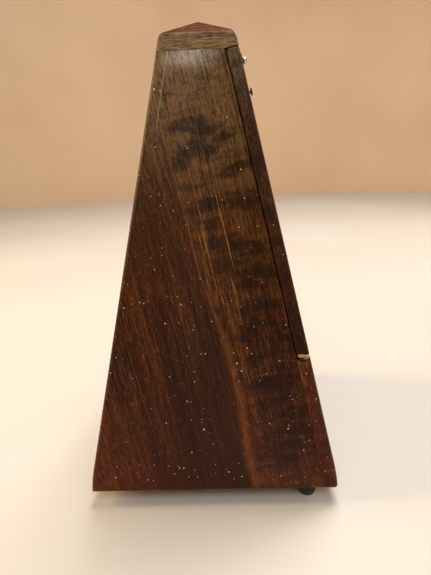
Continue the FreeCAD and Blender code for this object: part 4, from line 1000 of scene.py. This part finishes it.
# ---------------------------------------------------------------- scale lettering
def scale_marks():
    """Beat numbers in two columns beside the rod, each with its tick."""
    beats = [40, 42, 44, 46, 48, 50, 52, 54, 56, 58, 60, 63, 66, 69, 72, 76, 80, 84, 88, 92, 96, 100]
    beats += [104, 108, 112, 116, 120, 126, 132, 138, 144, 152, 160, 168, 176, 184, 192, 200, 208]
    top, foot = 175.0, 85.5
    low_w, low_half, high_w, high_half = 81.0, 13.5, 179.0, 8.5
    in_front = 6.585
    text_size, from_edge, tick_from_edge, beside_rod = 2.35, 2.5, 4.6, 3.0
    step = (top - foot) / (len(beats) - 1)
    turn = frame_at(0, 0, 0).to_3x3().to_4x4()
    ticks, tick_faces = [], []
    for i, beat in enumerate(beats):
        w = top - i * step
        room = low_half - (low_half - high_half) * (w - low_w) / (high_w - low_w)
        side = -1 if i % 2 == 0 else 1
        inner, outer = side * beside_rod, side * (room - tick_from_edge)
        for x, dw in ((inner, -0.1), (outer, -0.1), (outer, 0.1), (inner, 0.1)):
            ticks.append(face(x, in_front, w + dw))
        k = len(ticks)
        tick_faces.append((k - 4, k - 3, k - 2, k - 1))
        data = bpy.data.curves.new("beat_%d" % beat, "FONT")
        data.body = str(beat)
        data.size = text_size * MM
        data.align_x, data.align_y = "CENTER", "CENTER"
        data.extrude = 0.01 * MM
        data.offset = 0.03 * MM
        obj = bpy.data.objects.new("beat_%d" % beat, data)
        bpy.context.collection.objects.link(obj)
        place = face(side * (room - from_edge), in_front, w) * MM
        obj.matrix_world = Matrix.Translation(place) @ turn
        data.materials.append(plate_ink)
        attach(obj, "case")
    make("beat_ticks", ticks, tick_faces, plate_ink, "case")


scale_marks()

# ---------------------------------------------------------------- carried-over nodes
FINISH = {
    "steel": [
        "foot_screws", "rear_pallet", "front_pallet", "verge_arbor", "winding_arbor", "ratchet_wheel",
        "middle_arbor", "middle_pinion", "escape_arbor", "escape_pinion", "pendulum_rod", "mounting_angles",
        "angle_wood_screws", "bob_rivets",
    ],
    "blued": [
        "pillar_screws", "cock_screws", "angle_plate_screws", "click_screw", "click_spring",
        "click_spring_screw", "weight_spring", "mainspring", "ratchet_click",
    ],
    "brass": [
        "inner_movement_plate", "outer_movement_plate", "plate_pillars", "front_cock", "rear_cock",
        "great_wheel", "barrel_drum", "barrel_lid", "middle_wheel", "crown_wheel", "rod_collar", "rod_rest",
        "rod_rest_screw", "scale_plate_pins", "cover_tabs", "cover_tab_screws",
    ],
    "old": ["key_hole_bush"],
    "plain": ["base_board"],
    "inner": ["scale_board"],
    "enamel": ["scale_plate"],
}
GIVEN = {
    "steel": steel, "blued": blued, "brass": brass, "old": old_brass, "plain": plain_wood,
    "inner": inner_wood, "enamel": plate_enamel,
}
for finish, names in FINISH.items():
    for name in names:
        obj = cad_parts[name]
        obj.data.materials.clear()
        obj.data.materials.append(GIVEN[finish])

# ---------------------------------------------------------------- stage
def sheet(name, verts, faces, low, high):
    mesh = bpy.data.meshes.new(name)
    mesh.from_pydata(verts, [], faces)
    for polygon in mesh.polygons:
        polygon.use_smooth = True
    obj = bpy.data.objects.new(name, mesh)
    bpy.context.collection.objects.link(obj)
    s = Shade(name + "_paint")
    soft = s.noise(s.at, 3.0, 2.0, 0.5)
    tone = s.mix(s.range(soft, 0.3, 0.7), low, high)
    mesh.materials.append(s.finish(tone, s.math("ADD", 0.5, s.math("MULTIPLY", soft, 0.1))))
    obj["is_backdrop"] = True


sheet(
    "floor", [(-4, -4, 0), (4, -4, 0), (4, 4, 0), (-4, 4, 0)], [(0, 1, 2, 3)], srgb(218, 215, 210),
    srgb(212, 208, 202),
)
TURNS = 64
ROOM = 1.7
angles = [2 * math.pi * i / TURNS for i in range(TURNS)]
ring = [(ROOM * math.cos(a), ROOM * math.sin(a)) for a in angles]
wall = [(x, y, z) for z in (0.0, ROOM) for x, y in ring]
panels = [(i, (i + 1) % TURNS, TURNS + (i + 1) % TURNS, TURNS + i) for i in range(TURNS)]
sheet("backdrop", wall, panels, srgb(226, 200, 170), srgb(220, 192, 160))

world = bpy.data.worlds.new("studio")
bpy.context.scene.world = world
world.use_nodes = True
sky = world.node_tree.nodes["Background"]
sky.inputs[0].default_value = (0.93, 0.90, 0.86, 1)
sky.inputs[1].default_value = 0.09
bpy.context.scene.view_settings.view_transform = "Standard"


def lamp(name, position, target, size, power, colour):
    data = bpy.data.lights.new(name, "AREA")
    data.shape = "RECTANGLE"
    data.size, data.size_y = size
    data.energy = power
    data.color = colour
    obj = bpy.data.objects.new(name, data)
    bpy.context.collection.objects.link(obj)
    obj.location = position
    obj.rotation_euler = (Vector(target) - Vector(position)).to_track_quat("-Z", "Y").to_euler()
    return obj


centre = (0, 0, 0.10)
# lamps: position, target, size and power, in metres and watts
lamp("overhead", (0.42, -0.2, 1.3), centre, (0.6, 0.6), 15.0, (1.0, 0.97, 0.92))
lamp("window", (-0.7, -0.05, 1.1), (0, 0, 0.14), (1.2, 0.5), 5.0, (0.93, 0.97, 1.0))
lamp("fill", (-1.0, -0.9, 0.5), centre, (0.8, 0.8), 1.2, (1.0, 0.94, 0.86))
lamp("warm_front", (0.5, -0.9, 0.5), centre, (0.4, 0.4), 2.4, (1.0, 0.84, 0.64))
lamp("warm_rear", (0.02, 0.9, 0.5), (0, 0, 0.15), (0.25, 0.5), 7.0, (1.0, 0.70, 0.36))
lamp("wall_wash", (0.9, 0, 1.3), (1.7, 0, 0.3), (1.6, 0.3), 3, (1.0, 0.90, 0.78))

# ---------------------------------------------------------------- camera
YAW, PITCH, ROLL = math.radians(1.652), math.radians(17.458), math.radians(2.372)
EYE = Vector((-206.6, -8.95, 153.3)) * MM
forward = Vector((math.cos(YAW) * math.cos(PITCH), math.sin(YAW) * math.cos(PITCH), -math.sin(PITCH)))
right = Vector((math.sin(YAW), -math.cos(YAW), 0))
down = forward.cross(right)
right_r = right * math.cos(ROLL) + down * math.sin(ROLL)
down_r = down * math.cos(ROLL) - right * math.sin(ROLL)
lens = bpy.data.cameras.new("camera")
lens.sensor_fit = "HORIZONTAL"
lens.sensor_width = 36.0
lens.lens = 36.0 * 399.0 / 431.0
lens.clip_start = 0.01
camera = bpy.data.objects.new("camera", lens)
bpy.context.collection.objects.link(camera)
camera.matrix_world = Matrix.Translation(EYE) @ Matrix((right_r, -down_r, -forward)).transposed().to_4x4()
bpy.context.scene.camera = camera

bpy.context.view_layer.update()
low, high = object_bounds()
{"cad": [list(cad_low), list(cad_high)], "visual": [list(low), list(high)]}
